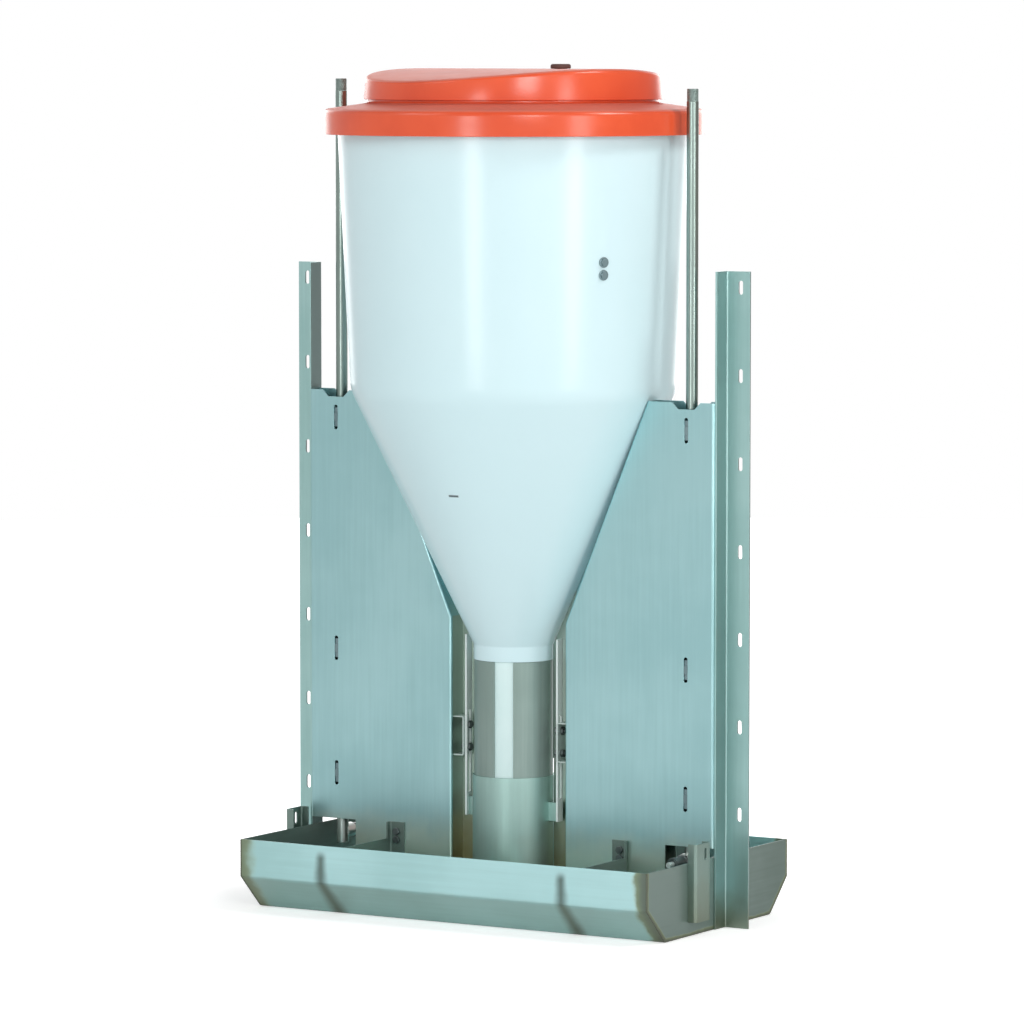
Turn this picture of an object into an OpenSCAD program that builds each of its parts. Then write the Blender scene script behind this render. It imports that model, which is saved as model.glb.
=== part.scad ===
// Pig feeder: a double-sided tube feeder for weaned pigs.
// Millimetres, +Z up, +X to the right along the trough, +Y to the back.
// The origin is on the floor, on the hopper's axis.

/* [Trough] */
// Distance from a water pipe to the trough's end
trough_end_room = 45; // [36:1:80]
// Width of the trough at the rim
trough_top_w = 412; // [370:2:520]
// Width of the trough's flat floor
trough_floor_w = 308; // [260:2:350]
// Height of the rim
trough_h = 104; // [90:1:130]
// Height of the bend between slanted and upright wall
trough_bend_z = 50; // [35:1:65]
// Sheet of the shell and of the end plates
trough_sheet = 2; // [1.5:0.5:3]
// Outside radius of bends in sheet
bend_r = 5; // [4:0.5:8]

/* [Dividers] */
// Distance of a divider's outer face from the middle
divider_x = 202; // [180:1:240]
// Sheet of the dividers
divider_sheet = 2; // [1.5:0.5:3]
// Drop of the dividers' top edge below the rim
divider_drop = 10; // [4:1:20]
// Width of the tab folded against the panel
divider_tab_w = 26; // [20:1:36]
// Rise of the tab above the rim
divider_tab_rise = 14; // [8:1:24]
// Height of the tab
divider_tab_h = 46; // [36:1:60]
// Distance of the upper bolt from the tab's top edge
divider_bolt_drop = 14; // [12:1:18]
// Distance between the two bolts of a tab
divider_bolt_pitch = 12; // [11:1:16]

/* [Panels] */
// Outside thickness of the hollow panels
panel_t = 34; // [30:1:40]
// Sheet of the panels
panel_sheet = 1.5; // [1:0.5:2]
// Height of the panels' top edge
panel_top_z = 750; // [700:5:752]
// Distance of the panels' inner ends from the middle
panel_inner_x = 96; // [92:1:120]
// Height where the slanted edge starts
panel_slope_z = 425; // [400:5:460]
// Gap between the back sheet's closing strip and the feed sleeve
panel_strip_room = 0.6; // [0.5:0.1:4]
// Width of the lower outer recess inside the water pipe
panel_recess_room = 33; // [24:1:50]
// Height of the lower outer recess
panel_recess_z = 116; // [112:1:140]
// Width of the flanges turned in at the outer end
panel_flange_w = 10; // [6:1:12]
// Width of the pipe notch in the top edge
pipe_notch_w = 46; // [42:1:60]
// Depth of the pipe notch in the top edge
pipe_notch_h = 10; // [6:1:12]
// Heights of the two lower punched clip slots
clip_slot_low_z = [184, 369];
// Drop of the upper clip slot below the top edge
clip_slot_drop = 40; // [34:1:80]
// Height of a clip slot
clip_slot_h = 36; // [24:1:40]
// Width of a clip slot
clip_slot_w = 6; // [4:0.5:7]

/* [Posts] */
// Height of the posts
post_h = 936; // [800:1:1000]
// Sheet of the posts
post_sheet = 3; // [2:0.5:4]
// Width of the slotted leg, outwards
post_leg_out = 40; // [34:1:60]
// Width of the leg against the panel's end
post_leg_end = 32; // [29:1:60]
// Setback of a post behind the panel's front face
post_setback = 3; // [0:1:12]
// Length of a post slot
post_slot_l = 20; // [14:1:26]
// Width of a post slot
post_slot_w = 7; // [5:0.5:9]
// Distance between post slots
post_slot_pitch = 125; // [100:1:128]
// Number of slots in a post
post_slots = 7; // [3:1:7]
// Drop of the first slot's centre below the top
post_slot_drop = 23; // [16:1:40]
// Distance of the slots from the leg's outer edge
post_slot_edge = 15; // [10:1:20]

/* [Partition brackets] */
// Distance of a bracket's outer face from the end plate
bracket_out = 14; // [12:1:24]
// Width of a bracket
bracket_w = 42; // [34:1:44]
// Distance of the right bracket's front face from the mid plane
bracket_right_y = 89; // [65:1:110]
// Distance of the left bracket's front face from the mid plane
bracket_left_y = 65; // [65:1:110]
// Height of a bracket's lower edge
bracket_low_z = 20; // [10:1:40]
// Rise of a bracket above the rim
bracket_rise = 27; // [24:1:40]
// Sheet of the brackets
bracket_sheet = 2; // [1.5:0.5:3]
// Length of the slot in a bracket
bracket_slot_l = 17; // [12:1:18]
// Distance of the slot from a bracket's front face
bracket_slot_y = 26; // [14:1:28]
// Distance of the slot's end from a bracket's top edge
bracket_slot_drop = 7; // [5:1:10]
// Width of the slot in a bracket
bracket_slot_w = 6; // [5:0.5:8]

/* [Water] */
// Gap between the pipes and the lid ring
pipe_ring_gap = 12.4; // [6:0.2:24]
// Outside diameter of the pipes
pipe_d = 17.2; // [13.5:0.1:19]
// Wall of the pipes
pipe_wall = 2.3; // [1.5:0.1:2.6]
// Height of the left pipe's top
pipe_left_top_z = 1206; // [1000:1:1300]
// Height of the right pipe's top
pipe_right_top_z = 1193; // [1000:1:1300]
// Diameter over the thread on a pipe's top
pipe_thread_d = 16.7; // [13:0.1:18.9]
// Length of the thread on a pipe's top
pipe_thread_l = 18; // [12:1:26]
// Length of a pipe's closed end below the nipple's socket
pipe_end_room = 5; // [4:1:12]
// Height of the drinking nipples
nipple_z = 95; // [70:1:100]
// Outside diameter of the nipple's welded socket
socket_d = 22; // [19:0.5:24]
// Distance of the socket's mouth from the pipe's axis
socket_l = 22; // [18:1:30]
// Diameter of the nipple's shank in the socket
nipple_shank_d = 15; // [13:0.5:16]
// Diameter of the nipple's barrel
nipple_barrel_d = 18; // [16:0.5:22]
// Length of the nipple's barrel beyond its hexagon
nipple_barrel_l = 26; // [22:1:34]
// Diameter of the nipple's pin
nipple_pin_d = 8; // [6:0.5:9]
// Length of pin in front of the barrel
nipple_pin_out = 12; // [8:1:18]
// Travel of the pin when it is pushed
nipple_travel = 3; // [2:0.5:5]

/* [Hopper] */
// Wall of the hopper
hopper_wall = 3; // [2.5:0.5:5]
// Outside radius of the hopper at its rim
hopper_top_r = 255; // [246:1:257]
// Taper of the drum's radius from its rim to the shoulder over the cone
hopper_taper = 19; // [13:1:23]
// Height of the shoulder
hopper_shoulder_z = 760; // [756:1:800]
// Radius of the round over the shoulder
hopper_shoulder_round = 70; // [30:5:90]
// Height of the collar's lower edge
collar_low_z = 368; // [355:1:372]
// Height of the collar
collar_h = 22; // [16:1:28]
// Heights of the two bolts in the drum
hopper_bolt_z = [932, 950];
// Angle of the hopper bolts from the front, towards the right
hopper_bolt_turn = 62; // [50:1:70]

/* [Feed tube] */
// Outside diameter of the drop tube
drop_tube_d = 110; // [100:1:112]
// Wall of the drop tube
drop_tube_wall = 3.2; // [2:0.1:5]
// Height of the drop tube's lower end
drop_tube_low_z = 120; // [110:1:150]
// Wall of the steel guide tube
guide_wall = 2; // [1.5:0.5:3]
// Height of the guide tube's lower end
guide_low_z = 105; // [95:1:150]
// Width of the window in the guide tube
window_w = 28; // [16:1:40]
// Height of the window's lower end
window_low_z = 190; // [160:1:240]
// Angle of the window from the front, towards the right
window_turn = 16; // [0:1:30]
// Wall of the feed sleeve
sleeve_wall = 2.2; // [1.5:0.1:3]
// Height of the feed sleeve's upper edge
sleeve_top_z = 200; // [185:1:215]
// How far the feed sleeve can be raised
sleeve_rise = 24; // [12:1:28]
// Feed gap under the sleeve when it is lowered
feed_gap = 20; // [10:1:40]

/* [Adjuster] */
// Distance of the straps' middle from the middle
strap_x = 77; // [74:0.5:80]
// Sheet of the straps
strap_sheet = 3; // [2:0.5:4]
// Width of the straps
strap_w = 15; // [13:1:18]
// Height of a strap's lower end
strap_low_z = 135; // [130:1:140]
// Height of a strap's upper end
strap_top_z = 400; // [360:1:401]
// Lower end of the long slot in a strap
strap_slot_low_z = 168; // [167:1:172]
// Upper end of the long slot in a strap
strap_slot_top_z = 290; // [280:1:330]
// Height of the sleeve's lugs
lug_h = 27; // [20:1:28]
// Sheet of the sleeve's lugs
lug_sheet = 3; // [2:0.5:4]
// Lower edge of a keeper
keeper_low_z = 222; // [218:1:226]
// Height of a keeper
keeper_h = 58; // [54:1:70]
// Outside width of a keeper
keeper_w = 22; // [20:1:26]
// Sheet of the keepers
keeper_sheet = 2; // [1.5:0.5:2.5]
// Distance of each keeper bolt from the keeper's end
keeper_bolt_edge = 12.5; // [12:0.5:14]

/* [Fasteners] */
// Diameter of the bolts
bolt_d = 6; // [5:0.5:6]
// Width across flats of heads and nuts
bolt_flats = 10; // [8:0.5:10]
// Height of the heads
head_h = 4; // [3:0.5:5]
// Height of the nuts
nut_h = 5; // [4:0.5:6]
// Room round a bolt in its hole
bolt_room = 0.3; // [0.2:0.05:0.5]

/* [Lid] */
// Overhang of the lid ring beyond the hopper's rim
ring_overhang = 19; // [12:1:30]
// Height of the lid ring's lower edge
ring_low_z = 1127; // [1110:1:1135]
// Height of the lid ring's outer wall
ring_wall_h = 36; // [28:1:44]
// Rise of the ring's sloping top
ring_top_rise = 9; // [4:1:16]
// Inset of the neck that the lid sits on from the hopper's rim
neck_inset = 45; // [20:1:80]
// Wall of the ring and the lid
lid_wall = 3; // [2:0.5:3.5]
// Room between the neck and the lid's skirt
lid_room = 3; // [1:0.5:8]
// Lower edge of the lid's skirt above the ring's top
lid_lift = 5; // [3:1:8]
// Height of the lid's crown above its skirt's lower edge
lid_crown_h = 44; // [36:1:54]
// Drop of the lid's low edges below its crown
lid_sag = 18; // [8:1:24]
// Angle of the lid's high edges from the right, towards the back
lid_turn = -19; // [-45:1:45]
// Distance of the plug from the lid's middle
plug_out = 104; // [60:1:140]
// Diameter of the plug's head
plug_d = 29; // [20:1:36]
// Height of the plug's head
plug_h = 6.5; // [4:0.5:9]
// Diameter of the plug's stem
plug_stem_d = 18; // [10:1:19]

/* [Fits] */
// Gap between pieces that seat on each other
seat_gap = 0.3; // [0.2:0.05:0.5]
// Radial gap of the nipple's pin in its barrel
pin_fit = 0.05; // [0.02:0.01:0.1]

/* [Hidden] */
$fn = 96;
bend_steps = 5;
round_steps = 10;
over = 1;

trough_path = [
    [-trough_top_w / 2, trough_h],
    [-trough_top_w / 2, trough_bend_z],
    [-trough_floor_w / 2, 0],
    [trough_floor_w / 2, 0],
    [trough_top_w / 2, trough_bend_z],
    [trough_top_w / 2, trough_h]
];
trough_bends = [bend_r, bend_r, bend_r, bend_r];

hopper_shoulder_r = hopper_top_r - hopper_taper;
ring_r = hopper_top_r + ring_overhang;
neck_r = hopper_top_r - neck_inset;
lid_r = neck_r + lid_room + lid_wall;
pipe_r = pipe_d / 2;
pipe_x = ring_r + pipe_ring_gap + pipe_r;
end_x = pipe_x + trough_end_room;

panel_y = panel_t / 2;
panel_recess_x = pipe_x - panel_recess_room;
clip_slot_z = concat(clip_slot_low_z, [panel_top_z - clip_slot_drop]);
panel_hollow = panel_t - 2 * panel_sheet;
post_front_y = post_setback - panel_y;
post_slot_x = end_x + post_leg_out - post_slot_edge;

divider_top_z = trough_h - divider_drop;
tab_top_z = trough_h + divider_tab_rise;
tab_low_z = tab_top_z - divider_tab_h;
tab_bolt_x = divider_x - divider_tab_w / 2;
tab_bolt_top_z = tab_top_z - divider_bolt_drop;
tab_bolt_z = [tab_bolt_top_z - divider_bolt_pitch, tab_bolt_top_z];

drop_r = drop_tube_d / 2;
collar_r = drop_r + seat_gap + hopper_wall;
collar_top_z = collar_low_z + collar_h;
guide_r = drop_r + seat_gap + guide_wall;
guide_top_z = collar_low_z - seat_gap;
sleeve_in_r = guide_r + seat_gap;
sleeve_r = sleeve_in_r + sleeve_wall;
sleeve_low_z = trough_sheet + feed_gap;

ring_shoulder_z = ring_low_z + ring_wall_h;
ring_top_z = ring_shoulder_z + ring_top_rise;
ring_slope = ring_top_rise / (ring_r - neck_r);
ring_under_drop = lid_wall * sqrt(1 + ring_slope * ring_slope);
function ring_under_z(r) = ring_shoulder_z + (ring_r - r) * ring_slope - ring_under_drop;
hopper_top_z = ring_under_z(hopper_top_r) - seat_gap;
hopper_path = [
    [collar_r, collar_low_z],
    [collar_r, collar_top_z],
    [hopper_shoulder_r, hopper_shoulder_z],
    [hopper_top_r, hopper_top_z]
];
hopper_rounds = [6, hopper_shoulder_round];
drum_slope = (hopper_top_r - hopper_shoulder_r) / (hopper_top_z - hopper_shoulder_z);
function drum_r(z) = hopper_top_r - (hopper_top_z - z) * drum_slope;
cone_slope = (hopper_shoulder_r - collar_r) / (hopper_shoulder_z - collar_top_z);
function cone_r(z) = collar_r + (z - collar_top_z) * cone_slope;
panel_seat_x = cone_r(panel_top_z) + seat_gap;
panel_back_y = panel_y - panel_sheet;
function strip_x(r) = sqrt(r * r - panel_back_y * panel_back_y) + panel_strip_room;
function strip_z(x) = collar_top_z - 2 * panel_strip_room
    + (sqrt(x * x + panel_back_y * panel_back_y) - collar_r) / cone_slope;
strip_low_x = strip_x(sleeve_r);
strip_up_x = strip_x(collar_r);
strip_step_z = sleeve_top_z + sleeve_rise + panel_strip_room;

lid_low_z = ring_top_z + lid_lift;
crown_z = lid_low_z + lid_crown_h;
vault_r = (lid_r * lid_r + lid_sag * lid_sag) / (2 * lid_sag);
function vault_z(y, r) = crown_z - vault_r + sqrt(r * r - y * y);
neck_top_z = vault_z(neck_r, vault_r - lid_wall) - seat_gap;

strap_in_x = strap_x - strap_sheet / 2;
strap_out_x = strap_x + strap_sheet / 2;
keeper_face_x = strap_out_x + seat_gap;
keeper_bend_r = keeper_sheet + 1;
keeper_bolt_z = [keeper_low_z + keeper_bolt_edge, keeper_low_z + keeper_h - keeper_bolt_edge];
strap_slot_w = bolt_d + 2 * bolt_room;
bolt_hole_r = bolt_d / 2 + bolt_room;

bracket_top_z = trough_h + bracket_rise;
bracket_slot_z = bracket_top_z - bracket_slot_drop - bracket_slot_l / 2;

pipe_bore_r = pipe_r - pipe_wall;
pipe_low_z = nipple_z - socket_d / 2 - pipe_end_room;
nipple_hex_h = 6;
nipple_shank_l = socket_l - pipe_r - 1;
chamber_r = nipple_pin_d / 2 + 1.5;
chamber_lip = 4;
pin_head_r = chamber_r - 0.4;
pin_head_h = 4;
barrel_end = nipple_hex_h + nipple_barrel_l;

steel = [0.60, 0.70, 0.70];
dark_steel = [0.42, 0.48, 0.47];
white_plastic = [0.86, 0.93, 0.94];
orange = [0.92, 0.37, 0.20];
brown = [0.25, 0.13, 0.12];

// Paths and bent sheet

function unit(v) = v / norm(v);
function left_of(v) = [-v.y, v.x];
function edge_normal(path, i) = left_of(unit(path[i + 1] - path[i]));
function turn_sign(path, i) = sign(cross(path[i] - path[i - 1], path[i + 1] - path[i]));

// An open path moved sideways, to its left, by a distance
function shifted(path, d) = [
    for (i = [0:len(path) - 1])
        let (
            before = edge_normal(path, max(i - 1, 0)),
            after = edge_normal(path, min(i, len(path) - 2))
        )
        path[i] + d * (before + after) / (1 + before * after)
];

// The points of a round of radius r in the corner b between a and c
function corner_arc(a, b, c, r, steps) =
    let (
        u = unit(a - b),
        v = unit(c - b),
        half = acos(u * v) / 2,
        centre = b + unit(u + v) * r / sin(half),
        first = b + u * r / tan(half) - centre,
        last = b + v * r / tan(half) - centre,
        start = atan2(first.y, first.x),
        gap = atan2(last.y, last.x) - start,
        sweep = gap > 180 ? gap - 360 : gap < -180 ? gap + 360 : gap
    )
    [for (k = [0:steps]) centre + r * [cos(start + sweep * k / steps), sin(start + sweep * k / steps)]];

// A path moved to its left by d, with a round in each corner; rounds are the path's own radii
function bent_path(path, d, rounds, steps = bend_steps) =
    let (line = shifted(path, d), last = len(path) - 1)
    concat(
        [line[0]],
        [
            for (i = [1:last - 1])
                each corner_arc(line[i - 1], line[i], line[i + 1],
                    rounds[i - 1] - d * turn_sign(path, i), steps)
        ],
        [line[last]]
    );

function backwards(points) = [for (i = [len(points) - 1:-1:0]) points[i]];

// The outline of a sheet of thickness t that lies to the left of a path
module sheet_outline(path, t, rounds, steps = bend_steps) {
    polygon(concat(bent_path(path, 0, rounds, steps), backwards(bent_path(path, t, rounds, steps))));
}

// A flat shape in Y and Z, drawn out along X from x0 to x1
module along_x(x0, x1) {
    translate([x0, 0, 0]) rotate([90, 0, 90]) linear_extrude(x1 - x0) children();
}

// A flat shape in X and Z, drawn out along Y, centred on the mid plane
module along_y(depth) {
    translate([0, depth / 2, 0]) rotate([90, 0, 0]) linear_extrude(depth) children();
}

// A flat slot outline, upright, with round ends
module slot_outline(length, width) {
    for (side = [-1, 1])
        translate([0, side * (length - width) / 2]) circle(d = width);
    square([width, length - width], center = true);
}

module mirror_left() {
    mirror([1, 0, 0]) children();
}

module turn_left() {
    rotate([0, 0, 180]) children();
}

// Fasteners, along +X with the underside of the head at the origin

module bolt(shank) {
    translate([-head_h, 0, 0]) rotate([0, 90, 0]) cylinder(d = bolt_flats / cos(30), h = head_h, $fn = 6);
    rotate([0, 90, 0]) translate([0, 0, -over]) cylinder(d = bolt_d, h = shank + over);
}

module nut() {
    rotate([0, 90, 0]) difference() {
        cylinder(d = bolt_flats / cos(30), h = nut_h, $fn = 6);
        translate([0, 0, -over]) cylinder(r = bolt_hole_r - bolt_room / 2, h = nut_h + 2 * over);
    }
}

// Trough

module trough_shell() {
    color(steel)
        along_x(-end_x + trough_sheet, end_x - trough_sheet)
            sheet_outline(trough_path, trough_sheet, trough_bends);
}

module trough_end() {
    color(steel)
        along_x(end_x - trough_sheet, end_x)
            polygon(bent_path(trough_path, 0, trough_bends));
}

// The front right divider: a plate across the trough, its tab folded against the panel
module divider() {
    plan = [
        [divider_x, -trough_top_w / 2],
        [divider_x, -panel_y],
        [divider_x - divider_tab_w, -panel_y]
    ];
    tab_y = panel_y + 2 * bend_r;
    color(steel) difference() {
        intersection() {
            linear_extrude(tab_top_z) sheet_outline(plan, divider_sheet, [bend_r]);
            along_x(0, end_x) {
                intersection() {
                    polygon(bent_path(trough_path, trough_sheet + seat_gap, trough_bends));
                    translate([-trough_top_w / 2, 0]) square([trough_top_w / 2, divider_top_z]);
                }
                translate([-tab_y, tab_low_z]) square([tab_y, divider_tab_h]);
            }
        }
        translate([divider_x - divider_tab_w - over, -panel_y - bend_r, -over])
            cube([divider_tab_w + over - bend_r, 2 * bend_r, tab_low_z + over]);
        tab_bolt_holes();
    }
}

module tab_bolt_holes() {
    for (z = tab_bolt_z)
        translate([tab_bolt_x, 0, z]) rotate([90, 0, 0])
            cylinder(r = bolt_hole_r, h = 2 * panel_t, center = true);
}

module at_tab_bolts() {
    for (side = [-1, 1], z = tab_bolt_z)
        translate([side * tab_bolt_x, 0, z]) children();
}

module divider_bolts() {
    tab_face = panel_y + divider_sheet;
    color(dark_steel) at_tab_bolts()
        rotate([0, 0, 90]) translate([-tab_face, 0, 0]) bolt(2 * tab_face + nut_h + 2);
}

module divider_nuts() {
    color(dark_steel) at_tab_bolts()
        rotate([0, 0, 90]) translate([panel_y + divider_sheet, 0, 0]) nut();
}

// A channel on the right end plate, its front face at a distance from the mid plane
module partition_bracket(front_y) {
    plan = [
        [end_x, -front_y],
        [end_x + bracket_out, -front_y],
        [end_x + bracket_out, -front_y + bracket_w],
        [end_x, -front_y + bracket_w]
    ];
    color(steel) difference() {
        translate([0, 0, bracket_low_z]) linear_extrude(bracket_top_z - bracket_low_z)
            sheet_outline(plan, bracket_sheet, [bend_r, bend_r]);
        translate([0, -front_y + bracket_slot_y, bracket_slot_z])
            along_x(end_x + bracket_out / 2, end_x + bracket_out + over)
                slot_outline(bracket_slot_l, bracket_slot_w);
    }
}

// Partition

module panel_outline() {
    polygon([
        [panel_inner_x, trough_sheet],
        [panel_inner_x, panel_slope_z],
        [panel_seat_x, panel_top_z],
        [end_x, panel_top_z],
        [end_x, panel_recess_z],
        [panel_recess_x, panel_recess_z],
        [panel_recess_x, trough_sheet]
    ]);
}

// The hollow: closed along the inner end and the slanted edge, open elsewhere
module panel_hollow_outline() {
    rise = panel_top_z - panel_slope_z;
    lean = (panel_seat_x - panel_inner_x) / rise;
    slant = panel_sheet * sqrt(1 + lean * lean);
    polygon([
        [panel_inner_x + panel_sheet, -over],
        [panel_inner_x + panel_sheet, panel_slope_z],
        [panel_inner_x + slant + lean * (rise + over), panel_top_z + over],
        [end_x + over, panel_top_z + over],
        [end_x + over, -over]
    ]);
}

module panel() {
    color(steel) {
        difference() {
            along_y(panel_t) panel_outline();
            along_y(panel_hollow) panel_hollow_outline();
            along_y(panel_t + 2 * over) {
                for (z = clip_slot_z)
                    translate([pipe_x, z]) slot_outline(clip_slot_h, clip_slot_w);
                pipe_notch_outline();
            }
            tab_bolt_holes();
        }
        for (side = [0, 1]) mirror([0, side, 0])
            translate([end_x - panel_sheet, panel_y - panel_flange_w, panel_recess_z])
                cube([panel_sheet, panel_flange_w, panel_top_z - panel_recess_z]);
        translate([0, panel_back_y + panel_sheet / 2, 0]) along_y(panel_sheet) panel_strip_outline();
    }
}

// The notch in the top edge that the water pipe comes up through
module pipe_notch_outline() {
    low_half = pipe_notch_w / 2 - pipe_notch_h;
    top_half = pipe_notch_w / 2 + over;
    polygon([
        [pipe_x - low_half, panel_top_z - pipe_notch_h],
        [pipe_x + low_half, panel_top_z - pipe_notch_h],
        [pipe_x + top_half, panel_top_z + over],
        [pipe_x - top_half, panel_top_z + over]
    ]);
}

// The strip of the back sheet that runs on to the feed sleeve and the cone and closes the gap
module panel_strip_outline() {
    polygon([
        [strip_low_x, trough_sheet],
        [strip_low_x, strip_step_z],
        [strip_up_x, strip_step_z],
        [strip_up_x, strip_z(strip_up_x)],
        [panel_inner_x, strip_z(panel_inner_x)],
        [panel_seat_x, panel_top_z],
        [panel_inner_x + panel_sheet, panel_slope_z],
        [panel_inner_x + panel_sheet, trough_sheet]
    ]);
}

module post() {
    plan = [
        [end_x + post_leg_out, post_front_y + post_leg_end],
        [end_x, post_front_y + post_leg_end],
        [end_x, post_front_y]
    ];
    color(steel) difference() {
        linear_extrude(post_h) sheet_outline(plan, post_sheet, [bend_r]);
        for (i = [0:post_slots - 1])
            translate([post_slot_x, 0, post_h - post_slot_drop - i * post_slot_pitch])
                along_y(2 * post_leg_end + panel_t) slot_outline(post_slot_l, post_slot_w);
    }
}

// A spring-steel saddle round the pipe, hooked in the panel's two facing slots
module pipe_clip() {
    band = 1.5;
    ring_out_r = pipe_r + seat_gap / 3 + band;
    clip_h = clip_slot_h - 8;
    ear_w = clip_slot_w - 2 * seat_gap;
    hook_h = clip_slot_h / 3;
    difference() {
        union() {
            translate([0, 0, -clip_h / 2]) cylinder(r = ring_out_r, h = clip_h);
            cube([ear_w, panel_hollow, clip_h], center = true);
            cube([ear_w, panel_t, hook_h], center = true);
        }
        translate([0, 0, -clip_h]) cylinder(r = ring_out_r - band, h = 2 * clip_h);
    }
}

module pipe_clips() {
    color(dark_steel)
        for (z = clip_slot_z) translate([pipe_x, 0, z]) pipe_clip();
}

// Water, drawn for the right pipe, whose nipple faces the front

module at_nipple() {
    translate([pipe_x, 0, nipple_z]) rotate([90, 0, 0]) children();
}

module water_pipe(top_z) {
    color(steel) difference() {
        union() {
            translate([pipe_x, 0, pipe_low_z]) cylinder(r = pipe_r, h = top_z - pipe_thread_l - pipe_low_z);
            translate([pipe_x, 0, top_z - pipe_thread_l - over])
                cylinder(d = pipe_thread_d, h = pipe_thread_l + over);
            at_nipple() cylinder(d = socket_d, h = socket_l);
        }
        translate([pipe_x, 0, pipe_low_z + pipe_wall]) cylinder(r = pipe_bore_r, h = top_z);
        at_nipple() cylinder(r = chamber_r, h = socket_l + over);
        at_nipple() translate([0, 0, socket_l - nipple_shank_l])
            cylinder(d = nipple_shank_d + 2 * pin_fit, h = nipple_shank_l + over);
    }
}

module nipple_body() {
    color(steel) at_nipple() translate([0, 0, socket_l]) difference() {
        union() {
            translate([0, 0, seat_gap - nipple_shank_l])
                cylinder(d = nipple_shank_d, h = nipple_shank_l);
            cylinder(d = socket_d, h = nipple_hex_h, $fn = 6);
            cylinder(d = nipple_barrel_d, h = barrel_end);
        }
        translate([0, 0, -nipple_shank_l])
            cylinder(r = chamber_r, h = nipple_shank_l + barrel_end - chamber_lip);
        cylinder(r = nipple_pin_d / 2 + pin_fit, h = barrel_end + over);
    }
}

module nipple_pin() {
    color(dark_steel) at_nipple() translate([0, 0, socket_l + barrel_end - chamber_lip - seat_gap]) {
        translate([0, 0, -pin_head_h]) cylinder(r = pin_head_r, h = pin_head_h);
        translate([0, 0, -over])
            cylinder(d = nipple_pin_d, h = chamber_lip + seat_gap + nipple_pin_out + over);
    }
}

// Hopper

module at_hopper_bolts() {
    for (z = hopper_bolt_z)
        rotate([0, 0, hopper_bolt_turn - 90]) translate([drum_r(z), 0, z]) children();
}

module hopper() {
    color(white_plastic) difference() {
        rotate_extrude() sheet_outline(hopper_path, hopper_wall, hopper_rounds, round_steps);
        at_hopper_bolts() rotate([0, 90, 0]) cylinder(r = bolt_hole_r, h = 4 * hopper_wall, center = true);
    }
}

module hopper_bolts() {
    color(dark_steel) at_hopper_bolts()
        translate([seat_gap, 0, 0]) rotate([0, 0, 180]) bolt(hopper_wall + 2 * seat_gap + nut_h + 1);
}

module hopper_nuts() {
    color(dark_steel) at_hopper_bolts()
        translate([-hopper_wall - 2 * seat_gap, 0, 0]) rotate([0, 0, 180]) nut();
}

// Feed tube

module tube(r, wall, z0, z1) {
    translate([0, 0, z0]) difference() {
        cylinder(r = r, h = z1 - z0);
        translate([0, 0, -over]) cylinder(r = r - wall, h = z1 - z0 + 2 * over);
    }
}

module drop_tube() {
    color(white_plastic) tube(drop_r, drop_tube_wall, drop_tube_low_z, collar_top_z - hopper_wall);
}

module guide_tube() {
    color(steel) difference() {
        tube(guide_r, guide_wall, guide_low_z, guide_top_z);
        for (turn = [0, 180]) rotate([0, 0, window_turn + turn])
            translate([-window_w / 2, -guide_r - over, window_low_z])
                cube([window_w, guide_r, guide_top_z]);
    }
}

module feed_sleeve() {
    color(steel) difference() {
        union() {
            translate([0, 0, sleeve_low_z]) cylinder(r = sleeve_r, h = sleeve_top_z - sleeve_low_z);
            translate([-strap_in_x, -lug_sheet / 2, strap_low_z])
                cube([2 * strap_in_x, lug_sheet, lug_h]);
        }
        translate([0, 0, sleeve_low_z - over])
            cylinder(r = sleeve_in_r, h = sleeve_top_z - sleeve_low_z + 2 * over);
    }
}

// Adjuster, drawn for the right side

module strap() {
    color(steel) along_x(strap_in_x, strap_out_x) difference() {
        translate([-strap_w / 2, strap_low_z]) square([strap_w, strap_top_z - strap_low_z]);
        translate([0, (strap_slot_low_z + strap_slot_top_z) / 2])
            slot_outline(strap_slot_top_z - strap_slot_low_z, strap_slot_w);
    }
}

// A channel on the panel's inner end, open to the front, its web along the strap
module strap_keeper() {
    profile = [
        [panel_inner_x, keeper_low_z + keeper_h],
        [keeper_face_x, keeper_low_z + keeper_h],
        [keeper_face_x, keeper_low_z],
        [panel_inner_x, keeper_low_z]
    ];
    color(steel) difference() {
        along_y(keeper_w) sheet_outline(profile, keeper_sheet, [keeper_bend_r, keeper_bend_r]);
        for (z = keeper_bolt_z)
            translate([strap_x, 0, z]) rotate([0, 90, 0])
                cylinder(r = bolt_hole_r, h = 2 * keeper_sheet + strap_sheet);
    }
}

module at_keeper_bolts() {
    for (side = [0, 1], z = keeper_bolt_z) mirror([side, 0, 0]) translate([0, 0, z]) children();
}

module keeper_bolts() {
    color(dark_steel) at_keeper_bolts()
        translate([strap_in_x - seat_gap, 0, 0]) bolt(strap_sheet + 2 * seat_gap + keeper_sheet + nut_h + 2);
}

module keeper_nuts() {
    color(dark_steel) at_keeper_bolts()
        translate([keeper_face_x + keeper_sheet, 0, 0]) nut();
}

// Lid

module lid_ring() {
    path = [
        [ring_r, ring_low_z],
        [ring_r, ring_shoulder_z],
        [neck_r, ring_top_z],
        [neck_r, neck_top_z]
    ];
    rib_in_r = hopper_top_r + 2 * seat_gap;
    rib_low_z = ring_low_z + 8;
    color(orange) {
        rotate_extrude() sheet_outline(path, lid_wall, [9, 4]);
        rotate_extrude() polygon([
            [rib_in_r, rib_low_z],
            [rib_in_r + lid_wall, rib_low_z],
            [rib_in_r + lid_wall, ring_under_z(rib_in_r + lid_wall) + lid_wall / 2],
            [rib_in_r, ring_under_z(rib_in_r) + lid_wall / 2]
        ]);
    }
}

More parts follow.
